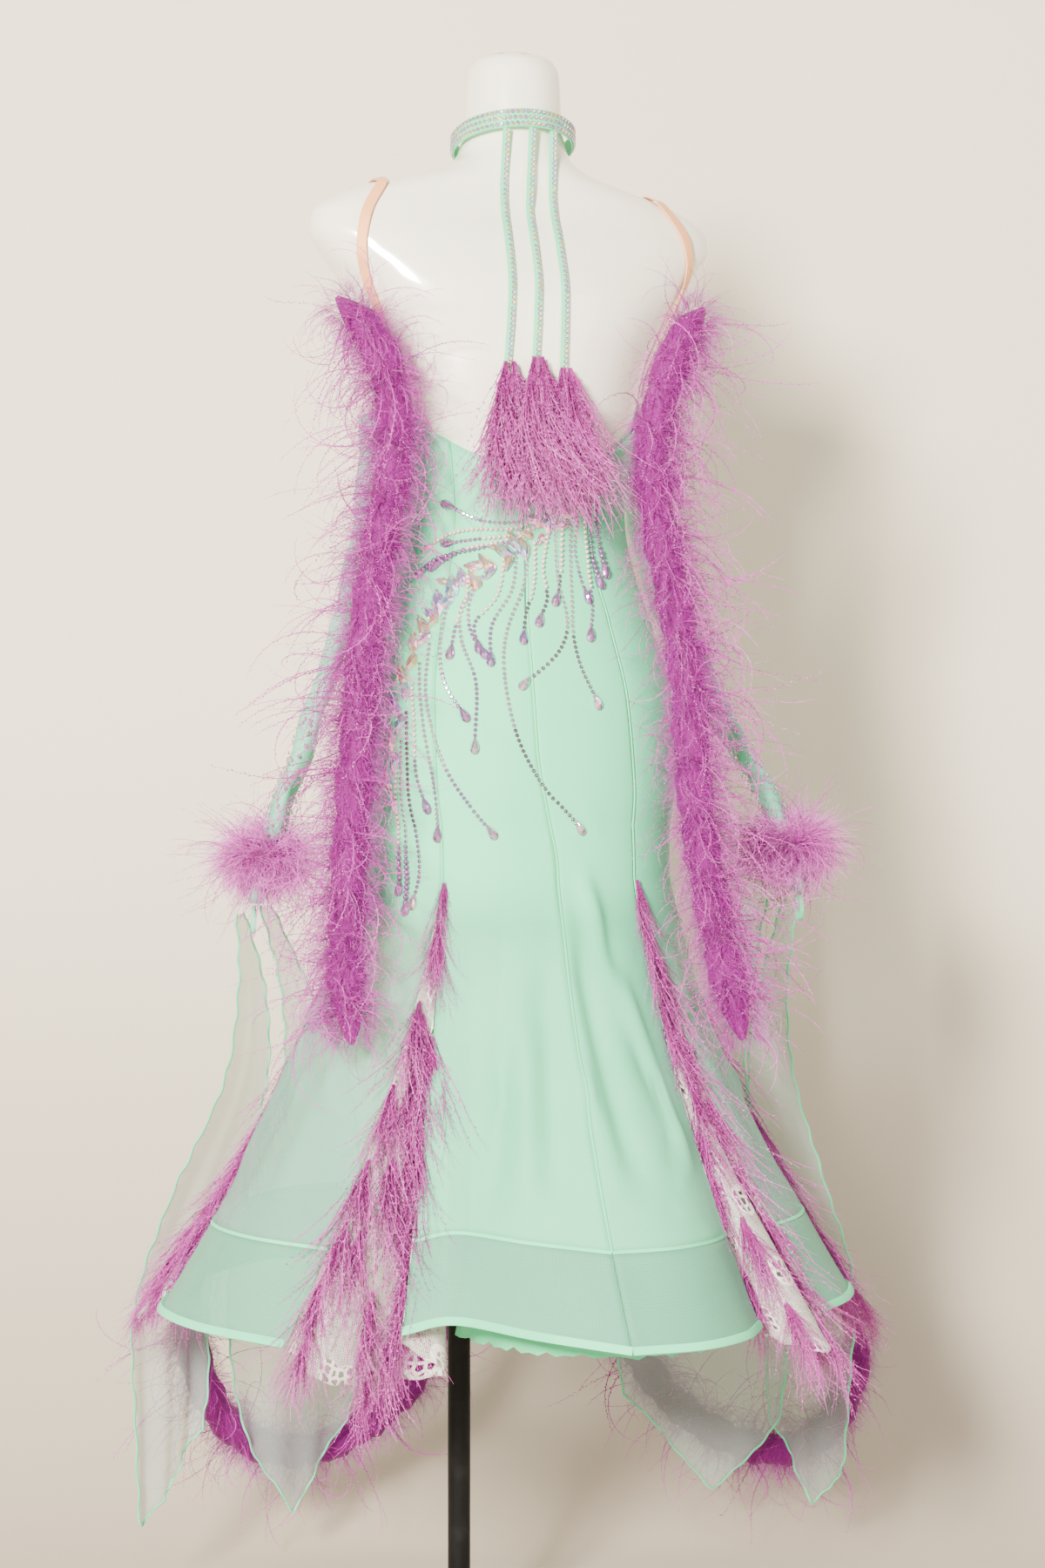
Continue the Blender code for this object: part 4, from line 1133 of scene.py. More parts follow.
MINT, DEEP_MINT = (0.15, 0.74, 0.40), (0.11, 0.68, 0.35)
FINISHES = {
    "form": form_gloss(),
    "black": black_paint(),
    "bodice": mint_cloth("mint_crepe", MINT, DEEP_MINT),
    "underskirt": mint_cloth("mint_lining", (0.12, 0.76, 0.36), (0.10, 0.70, 0.32)),
    # A dimmed copy of the mint crepe that stands in for the shade inside the closed zip: painted shade.
    "zip_shade": mint_cloth("zip_slit", (0.03, 0.20, 0.11), (0.02, 0.15, 0.08)),
    "trim": mint_cloth("mint_trim", (0.15, 0.78, 0.42), (0.12, 0.70, 0.36), 0.0007),
    "sleeve": mint_cloth("mint_mesh", (0.20, 0.66, 0.44), (0.16, 0.58, 0.38), 0.0012),
    "organza": sheer_cloth(
        "mint_organza", (0.22, 0.80, 0.50), (0.17, 0.74, 0.44), 0.0011, 0.56, 0.40, lined_above=0.842
    ),
    "side_organza": sheer_cloth(
        "mint_organza_unlined", (0.30, 0.66, 0.50), (0.26, 0.60, 0.46), 0.0011, 0.36, 0.24, lined_above=0.842
    ),
    "band": sheer_cloth(
        "crinoline_band", (0.16, 0.50, 0.33), (0.14, 0.45, 0.30), 0.0024, 0.70, 0.42, depth=0.0004
    ),
    "chiffon": sheer_cloth("mint_chiffon", (0.50, 0.64, 0.58), (0.44, 0.56, 0.52), 0.0014, 0.30, 0.17),
    "lace": lace_finish(),
    "elastic": elastic_finish(),
    "down": plume_finish("marabou_down", (0.29, 0.010, 0.24), (0.50, 0.040, 0.43)),
    "pale_down": plume_finish("cuff_down", (0.50, 0.035, 0.40), (0.78, 0.20, 0.66)),
    "wisp": plume_finish("ostrich_wisp", (0.36, 0.022, 0.28), (0.54, 0.10, 0.42)),
    "vane": plume_finish("ostrich_bunch", (0.33, 0.018, 0.23), (0.50, 0.085, 0.38)),
    "ab": stone_finish("rainbow_crystal", (1.0, 1.0, 1.0), 0.85, 0.80, 0.10),
    "lilac": stone_finish("lilac_crystal", (0.50, 0.30, 0.58), 0.30, 0.80, 0.12),
    "dark": stone_finish("smoke_crystal", (0.26, 0.17, 0.27), 0.25, 0.80, 0.14),
    "clear": stone_finish("clear_crystal", (0.72, 0.62, 0.76), 0.40, 0.80, 0.12),
    "blush": stone_finish("blush_pearl", (0.92, 0.60, 0.60), 0.15, 0.15, 0.22),
    "violet": stone_finish("violet_pearl", (0.28, 0.13, 0.32), 0.20, 0.45, 0.18),
}

# ---------------------------------------------------------------- shape helpers


def between(a, b, share):
    return a + (b - a) * share


def smooth(low, high, value):
    share = min(1.0, max(0.0, (value - low) / (high - low)))
    return share * share * (3 - 2 * share)


def look_up(table, key):
    """A row of the table at this key, in straight lines between its rows."""
    if key <= table[0][0]:
        return table[0][1:]
    for low, high in zip(table, table[1:]):
        if key <= high[0]:
            share = (key - low[0]) / (high[0] - low[0])
            return tuple(between(a, b, share) for a, b in zip(low[1:], high[1:]))
    return table[-1][1:]


def steady(before, after):
    """A slope between two others that never overshoots."""
    if before * after <= 0:
        return 0.0
    return 2 * before * after / (before + after)


def eased(table, key):
    """A row of the table at this key, on smooth curves that keep between its rows."""
    if key <= table[0][0]:
        return table[0][1:]
    if key >= table[-1][0]:
        return table[-1][1:]
    i = 0
    while key > table[i + 1][0]:
        i += 1
    low, high = table[i], table[i + 1]
    span = high[0] - low[0]
    t = (key - low[0]) / span
    row = []
    for c in range(1, len(low)):
        slope = (high[c] - low[c]) / span
        before, after = slope, slope
        if i > 0:
            before = (low[c] - table[i - 1][c]) / (low[0] - table[i - 1][0])
        if i + 2 < len(table):
            after = (table[i + 2][c] - high[c]) / (table[i + 2][0] - high[0])
        into, out = steady(before, slope) * span, steady(slope, after) * span
        row.append(
            low[c] * (2 * t**3 - 3 * t**2 + 1)
            + into * (t**3 - 2 * t**2 + t)
            + high[c] * (3 * t**2 - 2 * t**3)
            + out * (t**3 - t**2)
        )
    return tuple(row)


def through(points, share):
    """A point of the smooth curve through the points, at this share of its length."""
    points = [Vector(p) for p in points]
    spans = [(b - a).length for a, b in zip(points, points[1:])]
    left = share * sum(spans)
    index = 0
    while index < len(spans) - 1 and left > spans[index]:
        left -= spans[index]
        index += 1
    t = min(1.0, left / spans[index])
    a, b = points[index], points[index + 1]
    before = points[index - 1] if index else a * 2 - b
    after = points[index + 2] if index + 2 < len(points) else b * 2 - a
    into = (b - before) / 2
    out = (after - a) / 2
    return (
        a * (2 * t**3 - 3 * t**2 + 1)
        + into * (t**3 - 2 * t**2 + t)
        + b * (3 * t**2 - 2 * t**3)
        + out * (t**3 - t**2)
    )


def form_point(height, angle, ease=0.0):
    """A point round the form, this far outside it, at an angle from the centre back."""
    half_width, half_depth, middle, square = eased(FORM_SECTIONS, height)
    s, c = math.sin(math.radians(angle)), math.cos(math.radians(angle))
    return Vector(
        (
            (half_width + ease) * math.copysign(abs(s) ** (2 / square), s),
            middle - (half_depth + ease) * math.copysign(abs(c) ** (2 / square), c),
            height,
        )
    )


def form_depth(height, x, ease=0.0):
    half_width, half_depth, middle, square = eased(FORM_SECTIONS, height)
    reach = min(1.0, abs(x) / (half_width + ease))
    return (half_depth + ease) * (1 - reach**square) ** (1 / square), middle


def polar(angle, radius, height):
    a = math.radians(angle)
    return Vector((radius * math.sin(a), -radius * math.cos(a), height))


def crease_at(point):
    """How far the creases push the cloth out at this point."""
    radius = point.xy.length
    angle = math.degrees(math.atan2(point.x, -point.y))
    total = 0.0
    for angle_a, height_a, angle_b, height_b, half_width, depth in CREASES:
        turn_a = (angle_a - angle + 180) % 360 - 180
        turn_b = (angle_b - angle + 180) % 360 - 180
        a = Vector((math.radians(turn_a) * radius, height_a - point.z))
        b = Vector((math.radians(turn_b) * radius, height_b - point.z))
        line = b - a
        along = min(1.0, max(0.0, -a.dot(line) / line.length_squared))
        distance = (a + line * along).length
        if distance > 3 * half_width:
            continue
        ends = smooth(0, 0.25, along) * smooth(0, 0.25, 1 - along)
        total += depth * math.exp(-((distance / half_width) ** 2)) * ends
    return total


def creased(point):
    out = Vector((point.x, point.y, 0)).normalized()
    return point + out * crease_at(point)


# ---------------------------------------------------------------- object helpers


def put_in_scene(name, data, look):
    data.materials.append(FINISHES[look])
    obj = bpy.data.objects.new(name, data)
    bpy.context.scene.collection.objects.link(obj)
    return obj


def settle(obj, slot, *nodes):
    """Makes the object a piece of the dress: it rides on the one body and stands for its solids."""
    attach(obj, "root")
    if nodes:
        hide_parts(*nodes)
    return obj


def grid_mesh(name, rows, round_columns=False, round_rows=False):
    """A smooth open surface through rows of points, with its cut in metres as its UV map."""
    points = np.array([[tuple(p) for p in row] for row in rows], float) + np.array(AXIS)
    high, wide = points.shape[:2]
    middle_column = points[:, wide // 2]
    widths = np.linalg.norm(np.diff(points, axis=1), axis=2).sum(axis=1)
    down = np.concatenate([[0], np.cumsum(np.linalg.norm(np.diff(middle_column, axis=0), axis=1))])
    faces, places = [], []
    for i in range(high if round_rows else high - 1):
        k = (i + 1) % high
        for j in range(wide if round_columns else wide - 1):
            m = (j + 1) % wide
            faces.append((i * wide + j, i * wide + m, k * wide + m, k * wide + j))
            for row, column in ((i, j), (i, j + 1), (i + 1, j + 1), (i + 1, j)):
                share = column / max(1, wide - 1) - 0.5
                places.append((share * widths[row % high], down[min(row, high - 1)]))
    data = bpy.data.meshes.new(name)
    data.from_pydata(points.reshape(-1, 3).tolist(), [], faces)
    layer = data.uv_layers.new(name="cut")
    layer.data.foreach_set("uv", np.array(places, np.float32).ravel())
    data.update()
    facing = np.zeros(len(faces) * 3)
    centre = np.zeros(len(faces) * 3)
    data.polygons.foreach_get("normal", facing)
    data.polygons.foreach_get("center", centre)
    facing, centre = facing.reshape(-1, 3), centre.reshape(-1, 3)
    heart = points.reshape(-1, 3).mean(axis=0) if round_columns else np.array(AXIS)
    out = centre - heart
    out[:, 2] = 0
    if (facing * out).sum() < 0:
        data.flip_normals()
    data.shade_smooth()
    return data


def cloth_piece(name, rows, look, thickness=CLOTH, round_columns=False):
    """A thin closed shell of cloth through the rows."""
    obj = put_in_scene(name, grid_mesh(name, rows, round_columns), look)
    shell = obj.modifiers.new("thickness", "SOLIDIFY")
    shell.thickness = thickness
    shell.offset = 0
    return obj


def strip_piece(name, line, across, width, thickness, look, swell=0.0):
    """A flat closed strip along a line. across: the way across it at each point."""
    line = [Vector(p) for p in line]
    rows = []
    for i, point in enumerate(line):
        ahead = line[min(i + 1, len(line) - 1)] - line[max(i - 1, 0)]
        side = Vector(across[i]).normalized()
        out = ahead.cross(side).normalized()
        side = out.cross(ahead).normalized()
        half, thin = side * width / 2, out * thickness / 2
        soft = out * swell
        rows.append(
            [
                point - half - thin,
                point - half * 0.55 - thin,
                point + half * 0.55 - thin,
                point + half - thin,
                point + half + thin,
                point + half * 0.55 + thin + soft,
                point - half * 0.55 + thin + soft,
                point - half + thin,
            ]
        )
    return loft_piece(name, rows, look, sharp=50)


def loft_piece(name, rings, look, sharp=60):
    """A closed solid through rings of points, with its ends filled."""
    data = grid_mesh(name, rings, round_columns=True)
    bm = bmesh.new()
    bm.from_mesh(data)
    bmesh.ops.holes_fill(bm, edges=[edge for edge in bm.edges if edge.is_boundary], sides=0)
    bmesh.ops.triangulate(bm, faces=[f for f in bm.faces if len(f.verts) > 4])
    bmesh.ops.recalc_face_normals(bm, faces=bm.faces)
    bm.to_mesh(data)
    bm.free()
    data.shade_smooth()
    data.set_sharp_from_angle(angle=math.radians(sharp))
    return put_in_scene(name, data, look)


def tube_rings(line, radius, sides=6):
    """Rings round a line, with closed-down ends."""
    line = [Vector(p) for p in line]
    rings = []
    side = Vector((0.3, 1, 0.2)).normalized()
    for i, point in enumerate(line):
        ahead = (line[min(i + 1, len(line) - 1)] - line[max(i - 1, 0)]).normalized()
        side = (side - ahead * side.dot(ahead)).normalized()
        other = ahead.cross(side)
        r = radius[i] if isinstance(radius, list) else radius
        ring = []
        for j in range(sides):
            a = 2 * math.pi * j / sides
            ring.append(point + side * r * math.cos(a) + other * r * math.sin(a))
        rings.append(ring)
    return rings


# ---------------------------------------------------------------- form and stand


def lathe(name, profile, steps, look):
    """A turned solid about the stand's own upright, from radius and height pairs."""
    bm = bmesh.new()
    rings = []
    for radius, height in profile:
        if radius < 1e-6:
            rings.append([bm.verts.new((0, 0, height))])
            continue
        turns = [2 * math.pi * i / steps for i in range(steps)]
        rings.append([bm.verts.new((radius * math.cos(a), radius * math.sin(a), height)) for a in turns])
    for low, high in zip(rings, rings[1:]):
        for i in range(steps):
            k = (i + 1) % steps
            ordered = [low[i % len(low)], low[k % len(low)], high[k % len(high)], high[i % len(high)]]
            corners = set(ordered)
            face = []
            for vert in ordered:
                if vert not in face:
                    face.append(vert)
            if len(corners) >= 3:
                bm.faces.new(face)
    bmesh.ops.recalc_face_normals(bm, faces=bm.faces)
    data = bpy.data.meshes.new(name)
    bm.to_mesh(data)
    bm.free()
    data.shade_smooth()
    data.set_sharp_from_angle(angle=math.radians(40))
    return put_in_scene(name, data, look)


def make_stand():
    base_profile = (
        (0.000, SOCKET_TOP),
        (SOCKET_RADIUS - 0.002, SOCKET_TOP),
        (SOCKET_RADIUS, SOCKET_TOP - 0.002),
        (SOCKET_RADIUS, 0.030),
        (SOCKET_RADIUS + 0.002, 0.024),
        (SOCKET_RADIUS + 0.006, BASE_HEIGHT + 0.002),
        (0.060, BASE_HEIGHT),
        (BASE_RADIUS - 0.010, BASE_HEIGHT - 0.004),
        (BASE_RADIUS - 0.004, BASE_HEIGHT - 0.006),
        (BASE_RADIUS - 0.001, BASE_HEIGHT - 0.008),
        (BASE_RADIUS, BASE_HEIGHT - 0.010),
        (BASE_RADIUS, 0.001),
        (BASE_RADIUS - 0.001, 0.0),
        (0.000, 0.0),
    )
    settle(lathe("stand_base_turned", base_profile, 96, "black"), "black_paint", "stand_base")
    top, bottom = FORM_SECTIONS[0][0] - SEAM_GAP, SOCKET_TOP + SEAM_GAP
    pole_profile = ((0.0, bottom), (POLE_RADIUS, bottom), (POLE_RADIUS, top), (0.0, top))
    settle(lathe("stand_pole_turned", pole_profile, 48, "black"), "black_paint", "stand_pole")


def make_form():
    heights = []
    for low, high in zip(FORM_SECTIONS, FORM_SECTIONS[1:]):
        parts = max(2, round((high[0] - low[0]) / 0.005))
        heights += [between(low[0], high[0], i / parts) for i in range(parts)]
    heights.append(FORM_SECTIONS[-1][0])
    rings = []
    for height in heights:
        turns = [360 * i / FORM_SIDES for i in range(FORM_SIDES)]
        rings.append([form_point(height, turn) for turn in turns])
    settle(loft_piece("form_lacquered", rings, "form", sharp=70), "form_gloss", "form_torso")


# ---------------------------------------------------------------- dress body


def flare(t):
    """How far out a skirt seam has come, as a share, at this share of its length."""
    return 0.35 * t + 0.65 * t**1.6


def hang(top, hem, t, late=1.0):
    f = flare(min(1.0, max(0.0, t))) ** late
    return Vector(
        (between(top.x, hem.x, f), between(top.y, hem.y, f), between(top.z, hem.z, t))
    )


def seam_angles(name, height):
    left, middle, right = eased(BACK_SEAMS, height)
    return {
        "back_left": (left, middle),
        "back_right": (middle, right),
        "side_left": (FRONT_SEAMS[0], left),
        "side_right": (right, FRONT_SEAMS[1]),
        "front": (FRONT_SEAMS[1], 360 + FRONT_SEAMS[0]),
    }[name]


def top_edge(angle):
    turned = abs((angle + 180) % 360 - 180)
    return eased(TOP_EDGE, turned)[0]


def fitted_point(name, across, down):
    start, end = seam_angles(name, 1.30)
    height = between(top_edge(between(start, end, across)), HIP_HEIGHT, down)
    start, end = seam_angles(name, height)
    point = form_point(max(height, HIP_SECTION), between(start, end, across), EASE)
    point.z = height
    return point


def skirt_point(name, across, t):
    start, end = seam_angles(name, HIP_HEIGHT)
    top = form_point(HIP_SECTION, between(start, end, across), EASE)
    top.z = HIP_HEIGHT
    return hang(top, through(HEM[name], across), t)


def parted(rows, gaps):
    """The rows with their two ends drawn in, so that the piece stays clear of its neighbours."""
    for row, inset in zip(rows, gaps):
        first = (row[1] - row[0]).normalized() * inset
        last = (row[-2] - row[-1]).normalized() * inset
        row[0] = row[0] + first
        row[-1] = row[-1] + last
    return rows


# Finer columns and rows where the folds show most
PANEL_COLUMNS = {"back_left": 26, "back_right": 26, "side_left": 34, "side_right": 34, "front": 52}
FITTED_ROWS, SKIRT_ROWS, BAND_ROWS = 44, 48, 12


def seam_dip(across, columns):
    """The cloth turns in a little towards its two seams."""
    edge = min(across, 1 - across) * columns
    return -0.0007 * math.exp(-edge * 0.9)


def make_panel(name):
    columns = PANEL_COLUMNS[name]
    rows = []
    for i in range(FITTED_ROWS):
        rows.append([fitted_point(name, j / columns, i / FITTED_ROWS) for j in range(columns + 1)])
    for i in range(SKIRT_ROWS + 1):
        t = (BAND_SEAM - SEAM_GAP) * i / SKIRT_ROWS
        rows.append([skirt_point(name, j / columns, t) for j in range(columns + 1)])
    for row in rows:
        for j, point in enumerate(row):
            out = Vector((point.x, point.y, 0)).normalized()
            row[j] = creased(point) + out * seam_dip(j / columns, columns)
    rows = parted(rows, [SEAM_GAP] * len(rows))
    finish = "side_organza" if name.startswith("side") else "organza"
    obj = cloth_piece("cloth_" + name, rows, finish)
    settle(obj, "mint_cloth", "panel_" + name)


def make_band(name):
    """The stiff band at the hem, with a bound lower edge and a stitched top seam."""
    columns = PANEL_COLUMNS[name]
    rows = []
    for i in range(BAND_ROWS + 1):
        t = between(BAND_SEAM + 2 * SEAM_GAP, 1, i / BAND_ROWS)
        rows.append([skirt_point(name, j / columns, t) for j in range(columns + 1)])
    rows = parted(rows, [SEAM_GAP] * len(rows))
    obj = cloth_piece("cloth_band_" + name, rows, "band", 0.0012)
    settle(obj, "mint_organza", "hem_band_" + name)
    bound = strip_piece(
        "hem_binding_" + name,
        [row + Vector((0, 0, 0.0040)) for row in rows[-1]],
        [rows[-2][j] - rows[-1][j] for j in range(columns + 1)],
        0.0085,
        0.0026,
        "trim",
        0.0006,
    )
    settle(bound, "mint_cloth")
    top = strip_piece(
        "band_seam_" + name,
        rows[0],
        [rows[1][j] - rows[0][j] for j in range(columns + 1)],
        0.0035,
        0.0024,
        "trim",
        0.0004,
    )
    settle(top, "mint_cloth")


def make_seams():
    """The raised seams down the back, and a dark strip of painted shade along the closed zip in the centre one."""
    for name, panel, across in (
        ("centre_back_seam", "back_left", 1.0),
        ("right_back_seam", "back_right", 1.0),
        ("left_back_seam", "back_left", 0.0),
    ):
        line = [fitted_point(panel, across, i / 40) for i in range(1, 40)]
        line += [skirt_point(panel, across, 0.80 * i / 30) for i in range(31)]
        if name != "centre_back_seam":
            line = line[:42]
        line = [creased(point) for point in line]
        outs = [Vector((p.x, p.y, 0)).normalized() for p in line]
        line = [point + out * 0.0006 for point, out in zip(line, outs)]
        ways = [Vector((-out.y, out.x, 0)) for out in outs]
        settle(strip_piece(name, line, ways, 0.0022, 0.0012, "trim", 0.0003), "mint_cloth")
    # The zip: a narrow raised strip in dark mint, painted shade of the slit.
    line = []
    for i in range(30):
        height = between(1.206, 1.104, i / 29)
        angle = eased(BACK_SEAMS, height)[1]
        point = form_point(height, angle - 0.8, EASE + 0.0009)
        line.append(point)
    outs = [Vector((p.x, p.y, 0)).normalized() for p in line]
    ways = [Vector((-out.y, out.x, 0)) for out in outs]
    settle(strip_piece("zip_slit", line, ways, 0.0016, 0.0008, "zip_shade"), "mint_cloth")


def godet_point(name, apex, across, t):
    """A godet is flat near its point, and folds more and more towards the hem."""
    hem = through(HEM[name], across)
    straight = Vector(HEM[name][0]).lerp(Vector(HEM[name][-1]), across)
    share = smooth(FOLD_START, 0.9, t)
    folded = Vector((*straight.xy.lerp(hem.xy, share), hem.z))
    return hang(apex, folded, t)


def godet_apex(angle):
    apex = form_point(HIP_SECTION, angle, EASE)
    apex.z = HIP_HEIGHT
    return apex


def make_godet(name, angle, fold_gap):
    columns, steps = 44, 50
    apex = godet_apex(angle)
    rows, gaps = [], []
    for i in range(steps + 1):
        t = between(GODET_START, 1, i / steps)
        row = []
        for j in range(columns + 1):
            share = j / columns
            point = godet_point(name, apex, share, t)
            ripple = 0.0022 * math.sin(share * 17.0 + 5.0 * t) * smooth(0.3, 0.9, t)
            out = Vector((point.x, point.y, 0)).normalized()
            scallop = 0.0030 * abs(math.sin(share * 26.0)) * smooth(0.93, 1.0, t)
            inner = smooth(0.0, 0.08, min(share, 1 - share))
            row.append(point + out * ripple * inner + Vector((0, 0, scallop * inner)))
        rows.append(row)
        gaps.append(0.0010 + fold_gap * smooth(FOLD_START, 0.6, t))
    obj = cloth_piece("lace_" + name, parted(rows, gaps), "lace", 0.0009)
    settle(obj, "lace", name)


def make_underskirt():
    columns, steps = 110, 44
    start, end = UNDERSKIRT_ANGLES
    hem = [(x, y, UNDERSKIRT_HEM_HEIGHT) for x, y in UNDERSKIRT_HEM]
    rows = []
    for i in range(steps + 1):
        row = []
        for j in range(columns + 1):
            across, t = j / columns, i / steps
            corner = 0.020 * math.exp(-((across * columns / 1.6) ** 2)) * (1 - smooth(0, 0.2, t))
            top = form_point(HIP_SECTION, between(start, end, across), UNDERSKIRT_EASE)
            top.z = UNDERSKIRT_TOP - corner
            point = hang(top, through(hem, across), t, 1.3)
            out = Vector((point.x, point.y, 0)).normalized()
            fold = 0.0035 * math.sin(across * 61.0) + 0.002 * math.sin(across * 143.0 + 1.7)
            ragged = 0.0018 * math.sin(across * 330.0) + 0.0014 * math.sin(across * 517.0)
            lift = Vector((0, 0, ragged * smooth(0.96, 1.0, t)))
            row.append(point + out * (fold - 0.003) * smooth(0.15, 0.95, t) + lift)
        rows.append(row)
    obj = cloth_piece("lining_skirt", rows, "underskirt", 0.0008)
    settle(obj, "mint_cloth", "underskirt")


# ---------------------------------------------------------------- collar and straps


def collar_point(turn, rise, ease=0.0):
    a = math.radians(turn)
    x = (COLLAR_HALF_WIDTH + ease) * math.sin(a)
    y = -(COLLAR_HALF_DEPTH + ease) * math.cos(a)
    return Vector((x, y, COLLAR_MIDDLE - COLLAR_SLOPE * y + rise))


def make_collar():
    rows = []
    half = COLLAR_HEIGHT / 2
    for i in range(9):
        rise = half - COLLAR_HEIGHT * i / 8
        puff = 0.0006 * (1 - (rise / half) ** 2)
        rows.append([collar_point(360 * j / 90, rise, puff) for j in range(90)])
    obj = cloth_piece("neck_band", rows, "trim", 0.0016, round_columns=True)
    settle(obj, "mint_cloth", "collar")


def back_strap_line(x_top, x_end, end, steps=40):
    """The middle of a strap, from the collar's lower edge down over the form's back."""
    reach = (1 - (x_top / COLLAR_HALF_WIDTH) ** 2) ** 0.5
    y = -COLLAR_HALF_DEPTH * reach
    top = COLLAR_MIDDLE - COLLAR_SLOPE * y - COLLAR_HEIGHT / 2 - 2 * SEAM_GAP
    line = []
    for i in range(steps + 1):
        height = between(top, end, i / steps)
        x = between(x_top, x_end, i / steps)
        depth, middle = form_depth(height, x, 0.0032)
        line.append(Vector((x, min(y, middle - depth), height)))
    return line


def make_back_strap(name, x_top, x_end, end):
    line = back_strap_line(x_top, x_end, end)
    across = [Vector((1, 0, 0))] * len(line)
    obj = strip_piece("strap_" + name, line, across, BACK_STRAP_WIDTH, TRIM, "trim", 0.0003)
    settle(obj, "mint_cloth", "back_strap_" + name)


def shoulder_height(x):
    tops = [row for row in FORM_SECTIONS if row[0] >= 1.505]
    for low, high in zip(tops, tops[1:]):
        if high[1] <= x <= low[1]:
            return between(low[0], high[0], (low[1] - x) / (low[1] - high[1]))
    return tops[0][0]


def form_normal(point):
    def outside(p):
        half_width, half_depth, middle, square = look_up(FORM_SECTIONS, p.z)
        return (abs(p.x) / half_width) ** square + (abs(p.y - middle) / half_depth) ** square

    step = 0.0005
    slopes = []
    for i in range(3):
        more, less = point.copy(), point.copy()
        more[i] += step
        less[i] -= step
        slopes.append(outside(more) - outside(less))
    return Vector(slopes).normalized()


def make_shoulder_strap(name, side):
    """An elastic strap over the shoulder, close to the arm hole."""
    line, outs = [], []
    for height, middle_x, face in SHOULDER_STRAP:
        z = shoulder_height(middle_x) if face == 0 else height
        depth, middle = form_depth(z, middle_x)
        point = Vector((side * middle_x, middle + face * depth, z))
        out = form_normal(point)
        line.append(point + out * SHOULDER_STRAP_LIFT)
        outs.append(out)
    steps = 90
    fine = [through(line, i / steps) for i in range(steps + 1)]
    ways = []
    for i, point in enumerate(fine):
        ahead = fine[min(i + 1, steps)] - fine[max(i - 1, 0)]
        nearest = min(range(len(line)), key=lambda k: (line[k] - point).length)
        ways.append(outs[nearest].cross(ahead).normalized())
    for _ in range(3):
        ways = [
            (ways[max(i - 1, 0)] + ways[i] + ways[min(i + 1, steps)]).normalized()
            for i in range(steps + 1)
        ]
    obj = strip_piece("elastic_" + name, fine, ways, SHOULDER_STRAP_WIDTH, TRIM, "elastic", 0.0002)
    settle(obj, "nude_elastic", "shoulder_strap_" + name)


# ---------------------------------------------------------------- sleeves


def sleeve_frame(table, share):
    middles = [(x, y, height) for height, x, y, _, _ in table]
    middle = through(middles, share)
    sizes = sorted((height, width, depth) for height, _, _, width, depth in table)
    half_width, half_depth = eased(sizes, middle.z)
    out = Vector((middle.x, middle.y, 0)).normalized()
    return middle, out, Vector((-out.y, out.x, 0)), half_width, half_depth


def make_sleeve(name):
    table = SLEEVES[name]
    steps = 80
    rings = []
    for i in range(steps + 1):
        share = i / steps
        middle, out, along, half_width, half_depth = sleeve_frame(table, share)
        ring = []
        for j in range(SLEEVE_SIDES):
            a = 2 * math.pi * j / SLEEVE_SIDES
            wrinkle = 0.0022 * math.sin(3 * a + 26 * share) * math.sin(math.pi * share)
            wrinkle += 0.0016 * math.sin(41 * share + 2 * math.sin(a))
            reach = along * (half_width + wrinkle) * math.cos(a) + out * (half_depth + wrinkle) * math.sin(a)
            ring.append(middle + reach)
        rings.append(ring)
    obj = cloth_piece("limp_sleeve_" + name, rings, "sleeve", 0.0009, round_columns=True)
    settle(obj, "mint_cloth", "sleeve_" + name)


def make_finger_loop(name):
    height, x, y, _, _ = SLEEVES[name][-1]
    middle = Vector((x, y, height - LOOP_RADIUS * 1.3 - 0.0035))
    out = Vector((x, y, 0)).normalized()
    along = Vector((-out.y, out.x, 0))
    line = []
    for i in range(33):
        a = 2 * math.pi * i / 32 + math.pi / 2
        rise = Vector((0, 0, LOOP_RADIUS * 1.3 * math.sin(a)))
        line.append(middle + along * LOOP_RADIUS * math.cos(a) + rise)
    obj = strip_piece("loop_" + name, line[:-1], [out] * 32, 0.004, 0.0012, "trim")
    settle(obj, "mint_cloth", "finger_loop_" + name)


# ---------------------------------------------------------------- floats


def float_rows(name, columns, steps):
    table = FLOATS[name]
    drop, tip = FLOAT_TIP[name]
    edges = []
    for first in (0, 3):
        edges.append([polar(row[first + 1], row[first + 2], row[first]) for row in table])
    rows = []
    for i in range(steps + 1):
        share = i / steps
        left, right = through(edges[0], share), through(edges[1], share)
        row = []
        for j in range(columns + 1):
            u = j / columns
            flat = left.lerp(right, u)
            radius = between(left.xy.length, right.xy.length, u)
            radius += 0.004 * share * math.sin(2 * math.pi * 1.5 * u)
            radius += 0.0025 * share * math.sin(2 * math.pi * 3.1 * u + 4 * share)
            plan = flat.xy.normalized() * radius
            point_of_corner = 1 - abs(u - tip) / max(tip, 1 - tip)
            row.append(Vector((*plan, flat.z - drop * share**3 * point_of_corner)))
        rows.append(row)
    return rows


def make_float(name):
    """A sheer float with a rolled hem that waves a little."""
    columns, steps = 26, 64
    rows = float_rows(name, columns, steps)
    obj = cloth_piece("sheer_" + name, rows, "chiffon", 0.0006)
    settle(obj, "chiffon", name)
    edge = [row[0] for row in rows] + rows[-1][1:-1] + [row[-1] for row in reversed(rows)]
    count = 260
    line = []
    for i in range(count + 1):
        place = i * (len(edge) - 1) / count
        k = min(int(place), len(edge) - 2)
        point = edge[k].lerp(edge[k + 1], place - k)
        out = Vector((point.x, point.y, 0)).normalized()
        line.append(point + out * 0.0012 * math.sin(i * 0.9) + Vector((0, 0, 0.0010 * math.sin(i * 1.3))))
    roll = loft_piece("rolled_" + name, tube_rings(line, 0.0013), "trim")
    settle(roll, "mint_cloth")


# ---------------------------------------------------------------- feathers and stones


